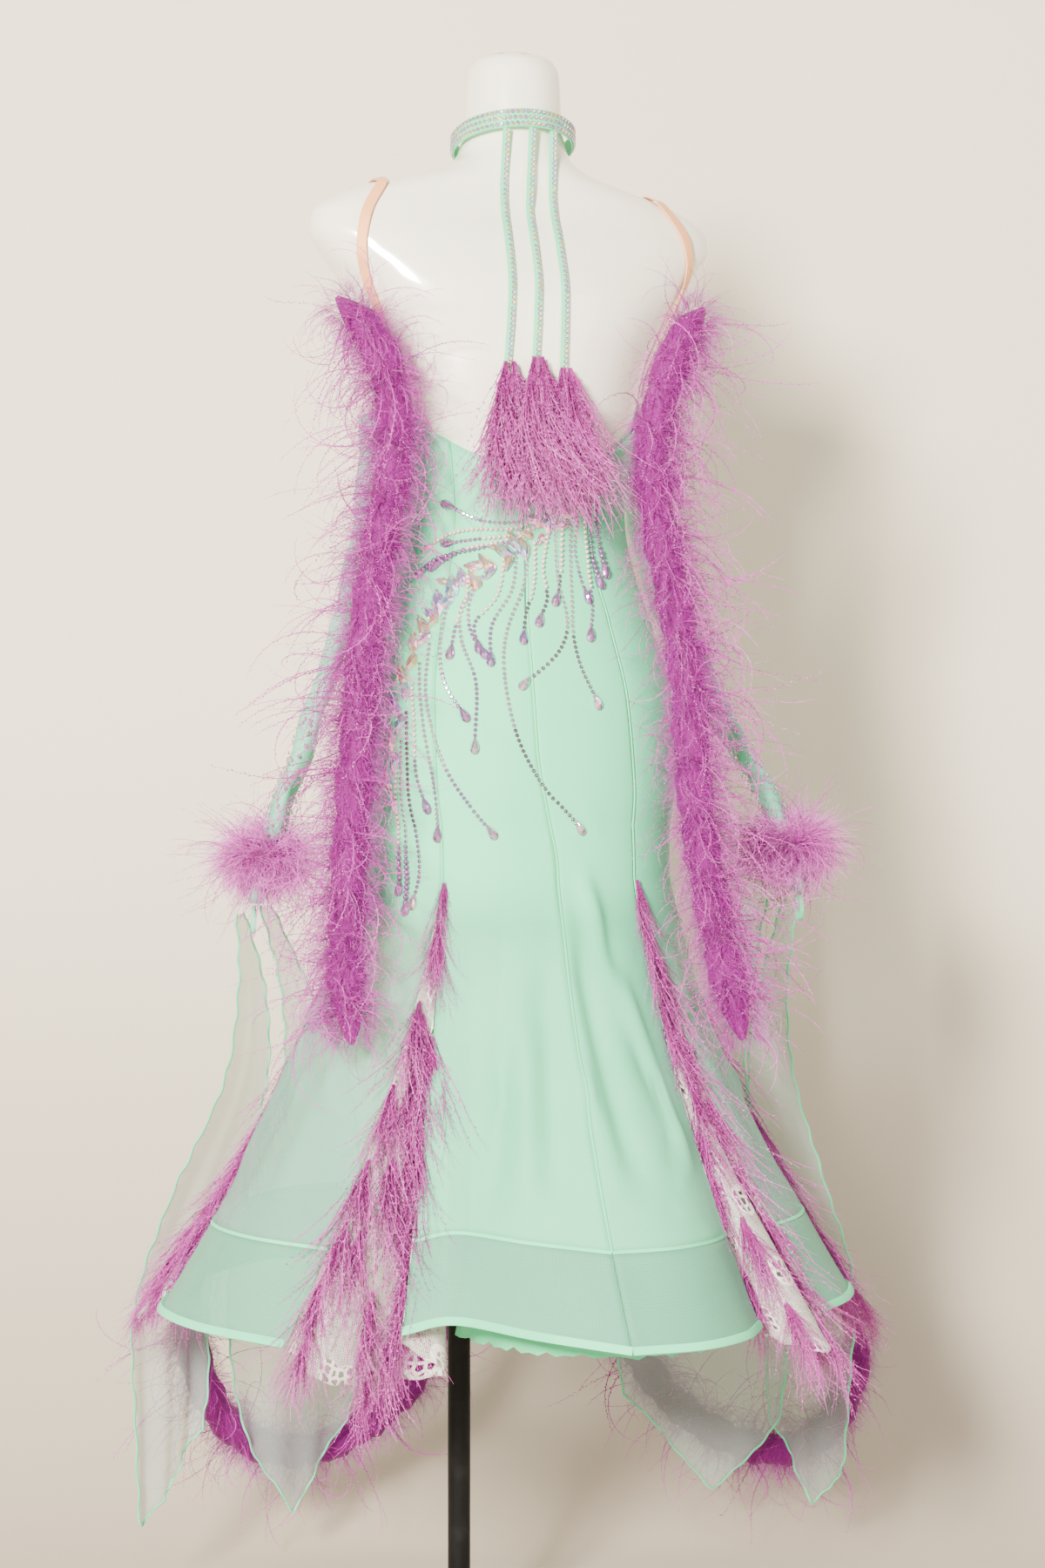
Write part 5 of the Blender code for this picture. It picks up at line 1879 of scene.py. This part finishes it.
def add_values(data, name, kind, domain, values):
    layer = data.attributes.new(name, kind, domain)
    field = "vector" if kind == "FLOAT_VECTOR" else "value"
    layer.data.foreach_set(field, np.ascontiguousarray(values).ravel())


def strand(name, curl, wave, width, segments, barbs=0, barb_length=0.0, twist=2.2):
    """One strand one metre long that grows up and leans towards +X, as a thin turned ribbon."""
    spine, heading = [Vector((0, 0, 0))], []
    for i in range(segments):
        share = (i + 0.5) / segments
        bend = curl * share**1.3
        step = Vector((math.sin(bend), wave * math.sin(share * 7.0), math.cos(bend)))
        heading.append(step.normalized())
        spine.append(spine[-1] + step.normalized() / segments)
    heading.append(heading[-1])
    points, faces, along = [], [], []
    for i, point in enumerate(spine):
        share = i / segments
        side = Vector((0, 1, 0))
        other = heading[i].cross(side).normalized()
        turned = side * math.cos(twist * share) + other * math.sin(twist * share)
        half = width / 2 * (1 - 0.75 * share)
        points += [point - turned * half, point + turned * half]
        along += [share, share]
    for i in range(segments):
        k = 2 * i
        faces.append((k, k + 1, k + 3, k + 2))
    for b in range(barbs):
        share = 0.10 + 0.86 * b / barbs
        place = share * segments
        k = min(int(place), segments - 1)
        root = spine[k].lerp(spine[k + 1], place - k)
        a = 2.4 * b
        side = Vector((0, 1, 0)) * math.cos(a) + heading[k].cross(Vector((0, 1, 0))) * math.sin(a)
        reach = barb_length * (1 - 0.5 * share)
        tip = root + (side * 0.75 + heading[k] * 0.65) * reach
        base = len(points)
        points += [root - heading[k] * 0.008, root + heading[k] * 0.008, tip]
        along += [share, share, min(1.0, share + 0.25)]
        faces.append((base, base + 1, base + 2))
    data = bpy.data.meshes.new(name)
    data.from_pydata([tuple(p) for p in points], [], faces)
    add_values(data, "along", "FLOAT", "POINT", np.array(along, np.float32))
    return bpy.data.objects.new(name, data)


def cut_stone(name, outline, crown, table, foot=0.12, height=0.34):
    """A faceted stone one metre long that lies on the ground, its outline in x and y."""
    points, faces = [], []
    rings = ((1.0, 0.0), (1.0, foot), (crown, height * 0.72), (table, height))
    count = len(outline)
    for scale, z in rings:
        points += [(x * scale, y * scale, z) for x, y in outline]
    for ring in range(3):
        for i in range(count):
            k = (i + 1) % count
            a, b = ring * count + i, ring * count + k
            c, d = b + count, a + count
            if ring == 0:
                faces.append((a, b, c, d))
            elif (i + ring) % 2:
                faces += [(a, b, c), (a, c, d)]
            else:
                faces += [(a, b, d), (b, c, d)]
    faces.append(tuple(range(3 * count, 4 * count)))
    faces.append(tuple(reversed(range(count))))
    data = bpy.data.meshes.new(name)
    data.from_pydata(points, [], faces)
    tones = [((i * 0.377 + 0.13 * (i % 3)) % 1.0) * 0.55 for i in range(len(faces))]
    add_values(data, "facet", "FLOAT", "FACE", np.array(tones, np.float32))
    return bpy.data.objects.new(name, data)


def outline_round(count):
    turns = [2 * math.pi * i / count for i in range(count)]
    return [(0.5 * math.cos(a), 0.5 * math.sin(a)) for a in turns]


def outline_navette(count):
    """Pointed at both ends, long in y."""
    places = []
    for i in range(count):
        a = 2 * math.pi * i / count
        y = 0.5 * math.sin(a)
        x = 0.24 * math.copysign(1 - abs(2 * y) ** 1.7, math.cos(a)) if abs(y) < 0.499 else 0.0
        places.append((x, y))
    return places


def outline_drop(count):
    """Round below and pointed above, long in y."""
    places = []
    for i in range(count):
        a = 2 * math.pi * i / count - math.pi / 2
        y = 0.5 * math.sin(a)
        places.append((0.36 * math.cos(a) * (0.62 - 0.76 * y) ** 0.8, y))
    return places


def pearl(name):
    bm = bmesh.new()
    bmesh.ops.create_uvsphere(bm, u_segments=8, v_segments=6, radius=0.5)
    bmesh.ops.translate(bm, verts=bm.verts, vec=(0, 0, 0.42))
    data = bpy.data.meshes.new(name)
    bm.to_mesh(data)
    bm.free()
    data.shade_smooth()
    add_values(data, "facet", "FLOAT", "FACE", np.zeros(len(data.polygons), np.float32))
    return bpy.data.objects.new(name, data)


def kit(name, objects):
    """A box of parts to set out. They are taken in the order of their names."""
    box = bpy.data.collections.new(name)
    for obj in objects:
        box.objects.link(obj)
    return box


def set_out_tree():
    tree = bpy.data.node_groups.new("set_out", "GeometryNodeTree")
    tree.interface.new_socket(name="Geometry", in_out="INPUT", socket_type="NodeSocketGeometry")
    tree.interface.new_socket(name="Kit", in_out="INPUT", socket_type="NodeSocketCollection")
    tree.interface.new_socket(name="Finish", in_out="INPUT", socket_type="NodeSocketMaterial")
    grow = tree.interface.new_socket(name="Overall Size", in_out="INPUT", socket_type="NodeSocketFloat")
    grow.default_value = 1.0
    tree.interface.new_socket(name="Geometry", in_out="OUTPUT", socket_type="NodeSocketGeometry")
    wanted = tree.nodes.new("NodeGroupInput").outputs
    given = tree.nodes.new("NodeGroupOutput").inputs

    def named(label, kind):
        made = tree.nodes.new("GeometryNodeInputNamedAttribute")
        made.data_type = kind
        made.inputs["Name"].default_value = label
        return made.outputs["Attribute"]

    parts = tree.nodes.new("GeometryNodeCollectionInfo")
    parts.inputs["Separate Children"].default_value = True
    parts.inputs["Reset Children"].default_value = True
    tree.links.new(wanted["Kit"], parts.inputs["Collection"])
    stand = tree.nodes.new("FunctionNodeAlignRotationToVector")
    stand.axis = "Z"
    tree.links.new(named("aim", "FLOAT_VECTOR"), stand.inputs["Vector"])
    turn = tree.nodes.new("FunctionNodeAlignRotationToVector")
    turn.axis = "X"
    turn.pivot_axis = "Z"
    tree.links.new(stand.outputs["Rotation"], turn.inputs["Rotation"])
    tree.links.new(named("lean", "FLOAT_VECTOR"), turn.inputs["Vector"])
    size = sum_node_geometry(tree, named("size", "FLOAT"), wanted["Overall Size"])
    place = tree.nodes.new("GeometryNodeInstanceOnPoints")
    tree.links.new(wanted["Geometry"], place.inputs["Points"])
    tree.links.new(parts.outputs["Instances"], place.inputs["Instance"])
    place.inputs["Pick Instance"].default_value = True
    tree.links.new(named("pick", "INT"), place.inputs["Instance Index"])
    tree.links.new(turn.outputs["Rotation"], place.inputs["Rotation"])
    tree.links.new(size, place.inputs["Scale"])
    real = tree.nodes.new("GeometryNodeRealizeInstances")
    tree.links.new(place.outputs["Instances"], real.inputs["Geometry"])
    finish = tree.nodes.new("GeometryNodeSetMaterial")
    tree.links.new(real.outputs["Geometry"], finish.inputs["Geometry"])
    tree.links.new(wanted["Finish"], finish.inputs["Material"])
    tree.links.new(finish.outputs["Geometry"], given["Geometry"])
    return tree


def sum_node_geometry(tree, a, b):
    made = tree.nodes.new("ShaderNodeMath")
    made.operation = "MULTIPLY"
    tree.links.new(a, made.inputs[0])
    tree.links.new(b, made.inputs[1])
    return made.outputs[0]


SET_OUT = set_out_tree()


def set_out(name, box, look, places, slot, *nodes):
    """places: arrays of point, aim, lean, size, pick and shade, one row for each part.
    """
    data = bpy.data.meshes.new(name + "_points")
    points = np.asarray(places["point"], float) + np.array(AXIS)
    data.from_pydata(points.tolist(), [], [])
    add_values(data, "aim", "FLOAT_VECTOR", "POINT", np.asarray(places["aim"], np.float32))
    add_values(data, "lean", "FLOAT_VECTOR", "POINT", np.asarray(places["lean"], np.float32))
    add_values(data, "size", "FLOAT", "POINT", np.asarray(places["size"], np.float32))
    add_values(data, "pick", "INT", "POINT", np.asarray(places["pick"], np.int32))
    add_values(data, "shade", "FLOAT", "POINT", np.asarray(places["shade"], np.float32))
    maker = bpy.data.objects.new(name + "_points", data)
    bpy.context.scene.collection.objects.link(maker)
    modifier = maker.modifiers.new("set_out", "NODES")
    modifier.node_group = SET_OUT
    for item in SET_OUT.interface.items_tree:
        if item.in_out != "INPUT":
            continue
        if item.name == "Kit":
            modifier[item.identifier] = box
        elif item.name == "Finish":
            modifier[item.identifier] = FINISHES[look]
        elif item.name == "Overall Size":
            modifier[item.identifier] = 1.0
    maker.update_tag()
    graph = bpy.context.evaluated_depsgraph_get()
    made = bpy.data.meshes.new_from_object(maker.evaluated_get(graph), depsgraph=graph)
    maker.modifiers.remove(modifier)
    bpy.data.objects.remove(maker)
    made.name = name
    obj = bpy.data.objects.new(name, made)
    bpy.context.scene.collection.objects.link(obj)
    made.materials.clear()
    made.materials.append(FINISHES[look])
    return settle(obj, slot, *nodes)


def unit(vectors):
    lengths = np.linalg.norm(vectors, axis=1, keepdims=True)
    return vectors / np.maximum(lengths, 1e-9)


DOWN_KIT = kit(
    "down_kit",
    [
        strand("down_a", 0.9, 0.10, 0.017, 3),
        strand("down_b", 1.5, 0.20, 0.016, 3),
        strand("down_c", 0.4, 0.30, 0.017, 3),
        strand("down_d", 2.2, 0.25, 0.016, 4),
    ],
)
WISP_KIT = kit(
    "wisp_kit",
    [
        strand("wisp_a", 1.0, 0.12, 0.0110, 9, 26, 0.040),
        strand("wisp_b", 1.7, 0.18, 0.0110, 9, 26, 0.040),
        strand("wisp_c", 2.6, 0.10, 0.0115, 10, 26, 0.038),
        strand("wisp_d", 0.5, 0.22, 0.0110, 8, 26, 0.040),
    ],
)
VANE_KIT = kit(
    "vane_kit",
    [
        strand("vane_a", 0.35, 0.10, 0.0110, 6, 14, 0.050),
        strand("vane_b", 0.60, 0.22, 0.0110, 6, 14, 0.050),
        strand("vane_c", -0.30, 0.18, 0.0105, 6, 14, 0.050),
        strand("vane_d", 0.95, 0.12, 0.0100, 6, 14, 0.050),
    ],
)


def line_frames(points, count):
    """Places, headings and two sideways directions along a curve, as arrays."""
    line = np.array([tuple(through(points, i / count)) for i in range(count + 1)])
    ahead = unit(np.gradient(line, axis=0))
    side = unit(np.cross(ahead, np.array([[0.2, 1.0, 0.1]])))
    return line, ahead, side, np.cross(ahead, side)


def boa_places(points, radius, count, sizes, seed, droop, jitter, picks, inward=0.55):
    """Strands that stand out all round a boa's cord."""
    rng = np.random.default_rng(seed)
    line, ahead, side, other = line_frames(points, 200)
    share = rng.random(count) * 200
    k = np.minimum(share.astype(int), 199)
    f = (share - k)[:, None]
    centre = line[k] * (1 - f) + line[k + 1] * f
    turn = rng.random(count) * 2 * np.pi
    out = side[k] * np.cos(turn)[:, None] + other[k] * np.sin(turn)[:, None]
    past_end = np.clip(np.abs(share - 100) / 5 - 19, 0, 1) * np.sign(share - 100)
    aim = out + rng.normal(0, jitter, (count, 3)) + np.array([0, 0, -droop])
    aim = unit(aim + ahead[k] * past_end[:, None] * 1.2)
    lean = ahead[k] * rng.normal(0, 0.8, (count, 1)) + rng.normal(0, 0.5, (count, 3)) + np.array([0, 0, -0.8])
    lean = unit(lean)
    tuft = 1 + 0.16 * np.sin(share * 0.42 + seed) + 0.10 * np.sin(share * 1.13 + 2 * turn)
    size = rng.uniform(*sizes, count) * tuft
    towards_axis = -(aim[:, :2] * unit(centre[:, :2])).sum(axis=1)
    size *= 1 - inward * np.clip(towards_axis, 0, 1)
    ends = np.minimum(share, 200 - share) / 8
    size *= np.clip(0.55 + 0.45 * ends, 0, 1)
    return {
        "point": centre + out * radius,
        "aim": aim,
        "lean": lean,
        "size": size,
        "pick": rng.integers(0, picks, count),
        "shade": np.clip(rng.normal(0.5, 0.22, count), 0, 1),
    }


def inside(places):
    """The strands, with those that would reach far beyond the dress made shorter."""
    centre = np.array((cad_low + cad_high) / 2 - AXIS)
    half = np.array((cad_high - cad_low) / 2) + STRAND_REACH
    point = np.asarray(places["point"]) - centre
    heading = np.asarray(places["aim"])
    reach = (half * np.sign(heading) - point) / np.where(heading == 0, 1, heading)
    room = np.where(np.abs(heading) < 1e-4, 9.0, reach)
    places["size"] = np.minimum(places["size"], np.maximum(room.min(axis=1), 0.015))
    return places


def make_core(name, points, radius, steps=60):
    """The boa's dense middle, which the eye sees between the strands."""
    line = [through(points, i / steps) for i in range(steps + 1)]
    radii = []
    for i in range(steps + 1):
        end = min(i, steps - i)
        swell = 1 + 0.10 * math.sin(1.3 * i) + 0.08 * math.sin(3.1 * i)
        radii.append(radius * swell * min(1.0, 0.15 + 0.28 * end))
    obj = loft_piece(name, tube_rings(line, radii, 12), "down")
    return settle(obj, "feather")


def make_boa(name, points, down_count, wisp_count, seed):
    make_core(name + "_core", points, 0.019)
    places = boa_places(points, 0.015, down_count, (0.018, 0.040), seed, 0.10, 0.45, 4)
    set_out(name + "_down", DOWN_KIT, "down", inside(places), "feather", name)
    places = boa_places(points, 0.016, wisp_count, (0.050, 0.120), seed + 1, 0.25, 0.40, 4)
    set_out(name + "_wisps", WISP_KIT, "wisp", inside(places), "feather")


def make_cuff(name):
    height, x, y, half_width, half_depth = SLEEVES[name][-2]
    middle = Vector((x, y, height))
    out = Vector((x, y, 0)).normalized()
    along = Vector((-out.y, out.x, 0))
    ring = []
    for i in range(25):
        a = 2 * math.pi * i / 24
        sideways = along * (half_width + 0.008) * math.cos(a)
        ring.append(middle + sideways + out * (half_depth + 0.010) * math.sin(a))
    places = boa_places(ring, 0.004, 6000, (0.030, 0.054), 31 + len(name), 0.05, 0.45, 4, inward=0.0)
    set_out("cuff_down_" + name, DOWN_KIT, "pale_down", inside(places), "feather", "cuff_" + name)
    places = boa_places(ring, 0.006, 260, (0.060, 0.100), 53 + len(name), 0.0, 0.40, 4, inward=0.0)
    set_out("cuff_wisps_" + name, WISP_KIT, "wisp", inside(places), "feather")


def bunch_places(bunches, strands, spread, seed):
    """Strands that fan out and down from each quill. bunches: quill, heading, outwards, length."""
    rng = np.random.default_rng(seed)
    found = {"point": [], "aim": [], "lean": [], "size": [], "pick": [], "shade": []}
    for quill, heading, outwards, length in bunches:
        heading = np.array(heading)
        outwards = np.array(outwards)
        sideways = np.cross(heading, outwards)
        fan = rng.normal(0, spread, strands)
        lift = np.abs(rng.normal(0, 0.07, strands)) + 0.02
        aim = heading + sideways * fan[:, None] + outwards * lift[:, None]
        lean = sideways * np.sign(fan)[:, None] * -0.4 + np.array([0, 0, -1.0]) + rng.normal(0, 0.6, (strands, 3))
        down = rng.random(strands) ** 1.5 * 0.22 * length
        found["point"].append(
            np.array(quill)
            + heading * down[:, None]
            + outwards * 0.0012
            + sideways * rng.normal(0, 0.0012, (strands, 1))
        )
        found["aim"].append(unit(aim))
        found["lean"].append(unit(lean))
        found["size"].append(length * rng.uniform(0.45, 1.05, strands))
        found["pick"].append(rng.integers(0, 4, strands))
        found["shade"].append(np.clip(rng.normal(0.5, 0.25, strands), 0, 1))
    return {key: np.concatenate(value) for key, value in found.items()}


def make_godet_feathers(name, angle, seed):
    apex = godet_apex(angle)
    bunches = []
    for across, t, length in BUNCHES[name]:
        t = between(GODET_START, 1.0, t)
        point = godet_point(name, apex, across, t)
        right = godet_point(name, apex, min(1, across + 0.03), t)
        side = right - godet_point(name, apex, max(0, across - 0.03), t)
        down = godet_point(name, apex, across, t + 0.02) - point
        out = down.cross(side).normalized()
        radial = Vector((point.x, point.y, 0))
        if out.dot(radial) < 0:
            out = -out
        heading = (down.normalized() + Vector((0, 0, -0.25))).normalized()
        bunches.append((point + out * 0.003, heading, out, length))
    places = bunch_places(bunches, 88, 0.26, seed)
    set_out("plumes_" + name, VANE_KIT, "vane", inside(places), "feather", name + "_feathers")


def make_tassel(name, x_end, end, seed):
    bunches = []
    for side in (-1, 1):
        x = x_end + side * 0.004
        depth, middle = form_depth(end, x, EASE + 0.004)
        quill = Vector((x, middle - depth, end + 0.006))
        heading = Vector((0.10 * side + TASSEL_SWING[name] * 1.6, -0.10, -1.0)).normalized()
        bunches.append((quill, heading, (0, -1, 0), 0.155))
    places = bunch_places(bunches, 330, 0.15, seed)
    set_out("plume_tassel_" + name, VANE_KIT, "vane", places, "feather", "tassel_" + name)


# ---------------------------------------------------------------- stones

STONE_KIT = kit(
    "stone_kit",
    [
        cut_stone("stone_a_round", outline_round(8), 0.72, 0.42, 0.14, 0.42),
        cut_stone("stone_b_navette", outline_navette(12), 0.66, 0.34, 0.08, 0.24),
        cut_stone("stone_c_drop", outline_drop(12), 0.70, 0.38, 0.10, 0.28),
        pearl("stone_d_pearl"),
    ],
)
ROUND, NAVETTE, DROP, PEARL = range(4)


def dress_point(angle, height):
    """The dress's outer face at an angle from the centre back."""
    if height >= HIP_HEIGHT:
        point = form_point(max(height, HIP_SECTION), angle, EASE)
        point.z = height
    else:
        left, middle, right = look_up(BACK_SEAMS, HIP_HEIGHT)
        name, start, end = "side_left", FRONT_SEAMS[0], left
        if angle > left:
            name, start, end = "back_left", left, middle
        if angle > middle:
            name, start, end = "back_right", middle, right
        t = (HIP_HEIGHT - height) / (HIP_HEIGHT - 0.38)
        point = skirt_point(name, (angle - start) / (end - start), t)
    return creased(point)


def dress_frame(angle, height):
    """A point of the dress's outer face, and the ways out of it and up it."""
    point = dress_point(angle, height)
    side = dress_point(angle + 1.0, height) - dress_point(angle - 1.0, height)
    up = dress_point(angle, height + 0.004) - dress_point(angle, height - 0.004)
    out = side.cross(up).normalized()
    if out.dot(Vector((point.x, point.y, 0))) < 0:
        out = -out
    return point + out * DRESS_LIFT, out, up.normalized()


class Tray:
    """Stones waiting to be set, by finish."""

    def __init__(self):
        self.rows = {}
        self.rng = np.random.default_rng(7)

    def add(self, look, point, out, lean, size, pick):
        row = (tuple(point), tuple(out), tuple(lean), size, pick, float(self.rng.random()))
        self.rows.setdefault(look, []).append(row)

    def set_all(self, prefix):
        for look, rows in sorted(self.rows.items()):
            keys = ("point", "aim", "lean", "size", "pick", "shade")
            places = {key: np.array([row[i] for row in rows]) for i, key in enumerate(keys)}
            set_out(prefix + look, STONE_KIT, look, places, "mint_cloth")


def add_string(tray, top, tail, points):
    """A string of small stones that starts in one finish and ends in another with a drop."""
    places = [(math.radians(angle) * 0.13, height, 0) for angle, height in points]
    fine = [through(places, i / 60) for i in range(61)]
    length = sum((b - a).length for a, b in zip(fine, fine[1:]))
    count = max(4, int(length / BEAD_PITCH))
    for i in range(count):
        share = i / count
        spot = through(places, share)
        angle, height = math.degrees(spot.x / 0.13), spot.y
        point, out, up = dress_frame(angle, height)
        look = top if share < 0.62 else tail
        big = 1.35 if look in ("violet",) and share > 0.7 else 1.0
        pick = PEARL if look in ("blush", "violet") else ROUND
        tray.add(look, point, out, up, BEAD * big, pick)
    last, before = through(places, 1.0), through(places, 0.93)
    way = (last - before).normalized()
    angle, height = math.degrees(last.x / 0.13), last.y
    point, out, up = dress_frame(angle, height)
    across = up.cross(out).normalized()
    heading = (up * way.y - across * -way.x).normalized()
    side = heading.cross(out).normalized()
    look = "lilac" if tail != "violet" else "violet"
    tray.add("clear" if look == "lilac" and len(points) % 2 else look, point, out, side * -1, 0.0180, DROP)


def make_spray():
    tray = Tray()
    for angle, height, length, turn, cut in LARGE_STONES:
        point, out, up = dress_frame(angle, height)
        across = up.cross(out).normalized()
        a = math.radians(turn)
        lean = across * math.cos(a) + up * math.sin(a)
        tray.add("ab", point, out, lean, length * LARGE_STONE_GROWTH, NAVETTE if cut == "navette" else DROP)
    for top, tail, points in STRINGS:
        add_string(tray, top, tail, points)
    tray.set_all("spray_")


def make_trim_stones():
    """Rows of stones on the neck band, the back straps and the sleeves' wrists."""
    tray = Tray()
    for rise in (-0.0062, 0.0, 0.0062):
        count = 74
        for i in range(count):
            turn = 360 * (i + (0.5 if rise == 0 else 0)) / count
            point = collar_point(turn, rise, 0.0015)
            out = Vector((math.sin(math.radians(turn)), -math.cos(math.radians(turn)), 0))
            tray.add("ab", point, out, (0, 0, 1), 0.0050, ROUND)
    for _, x_top, x_end, end in BACK_STRAPS:
        line = back_strap_line(x_top, x_end, end, 200)
        length = sum((b - a).length for a, b in zip(line, line[1:]))
        count = int(length / 0.0054)
        for i in range(count):
            k = min(int((i + 0.5) * 200 / count), 199)
            ahead = (line[k + 1] - line[k]).normalized()
            out = ahead.cross(Vector((1, 0, 0))).normalized()
            if out.y > 0:
                out = -out
            tray.add("ab", line[k] + out * 0.0009 + Vector((0.0012, 0, 0)), out, ahead, 0.0050, ROUND)
    rng = np.random.default_rng(11)
    for name in ("left", "right"):
        for _ in range(150):
            share = 0.60 + 0.26 * float(rng.random())
            a = float(rng.random()) * 2 * math.pi
            middle, out, along, half_width, half_depth = sleeve_frame(SLEEVES[name], share)
            reach = along * (half_width + 0.0022) * math.cos(a) + out * (half_depth + 0.0022) * math.sin(a)
            way = (along * math.cos(a) / half_width + out * math.sin(a) / half_depth).normalized()
            tray.add("ab" if share > 0.7 else "clear", middle + reach, way, (0, 0, 1), 0.0045, ROUND)
    tray.set_all("trim_")


# ---------------------------------------------------------------- all of it


def main():
    make_camera()
    make_lights()
    make_stage()
    make_stand()
    make_form()
    for name in PANELS:
        make_panel(name)
        make_band(name)
    make_seams()
    for name, angle, fold_gap in GODETS:
        make_godet(name, angle, fold_gap)
    make_underskirt()
    make_collar()
    for strap in BACK_STRAPS:
        make_back_strap(*strap)
    for name, side in (("left", -1), ("right", 1)):
        make_shoulder_strap(name, side)
        make_sleeve(name)
        make_finger_loop(name)
        make_cuff(name)
    for name in FLOATS:
        make_float(name)
    for seed, name in ((3, "boa_left"), (5, "boa_right")):
        make_boa(name, BOAS[name], *BOA_STRANDS, seed)
    for seed, name in ((7, "garland_left"), (9, "garland_right")):
        make_boa(name, [polar(*row) for row in GARLANDS[name]], *GARLAND_STRANDS, seed)
    for seed, (name, angle, _) in enumerate(GODETS):
        make_godet_feathers(name, angle, 20 + seed)
    for seed, (name, _, x_end, end) in enumerate(BACK_STRAPS):
        make_tassel(name, x_end, end, 40 + seed)
    make_spray()
    make_trim_stones()


main()
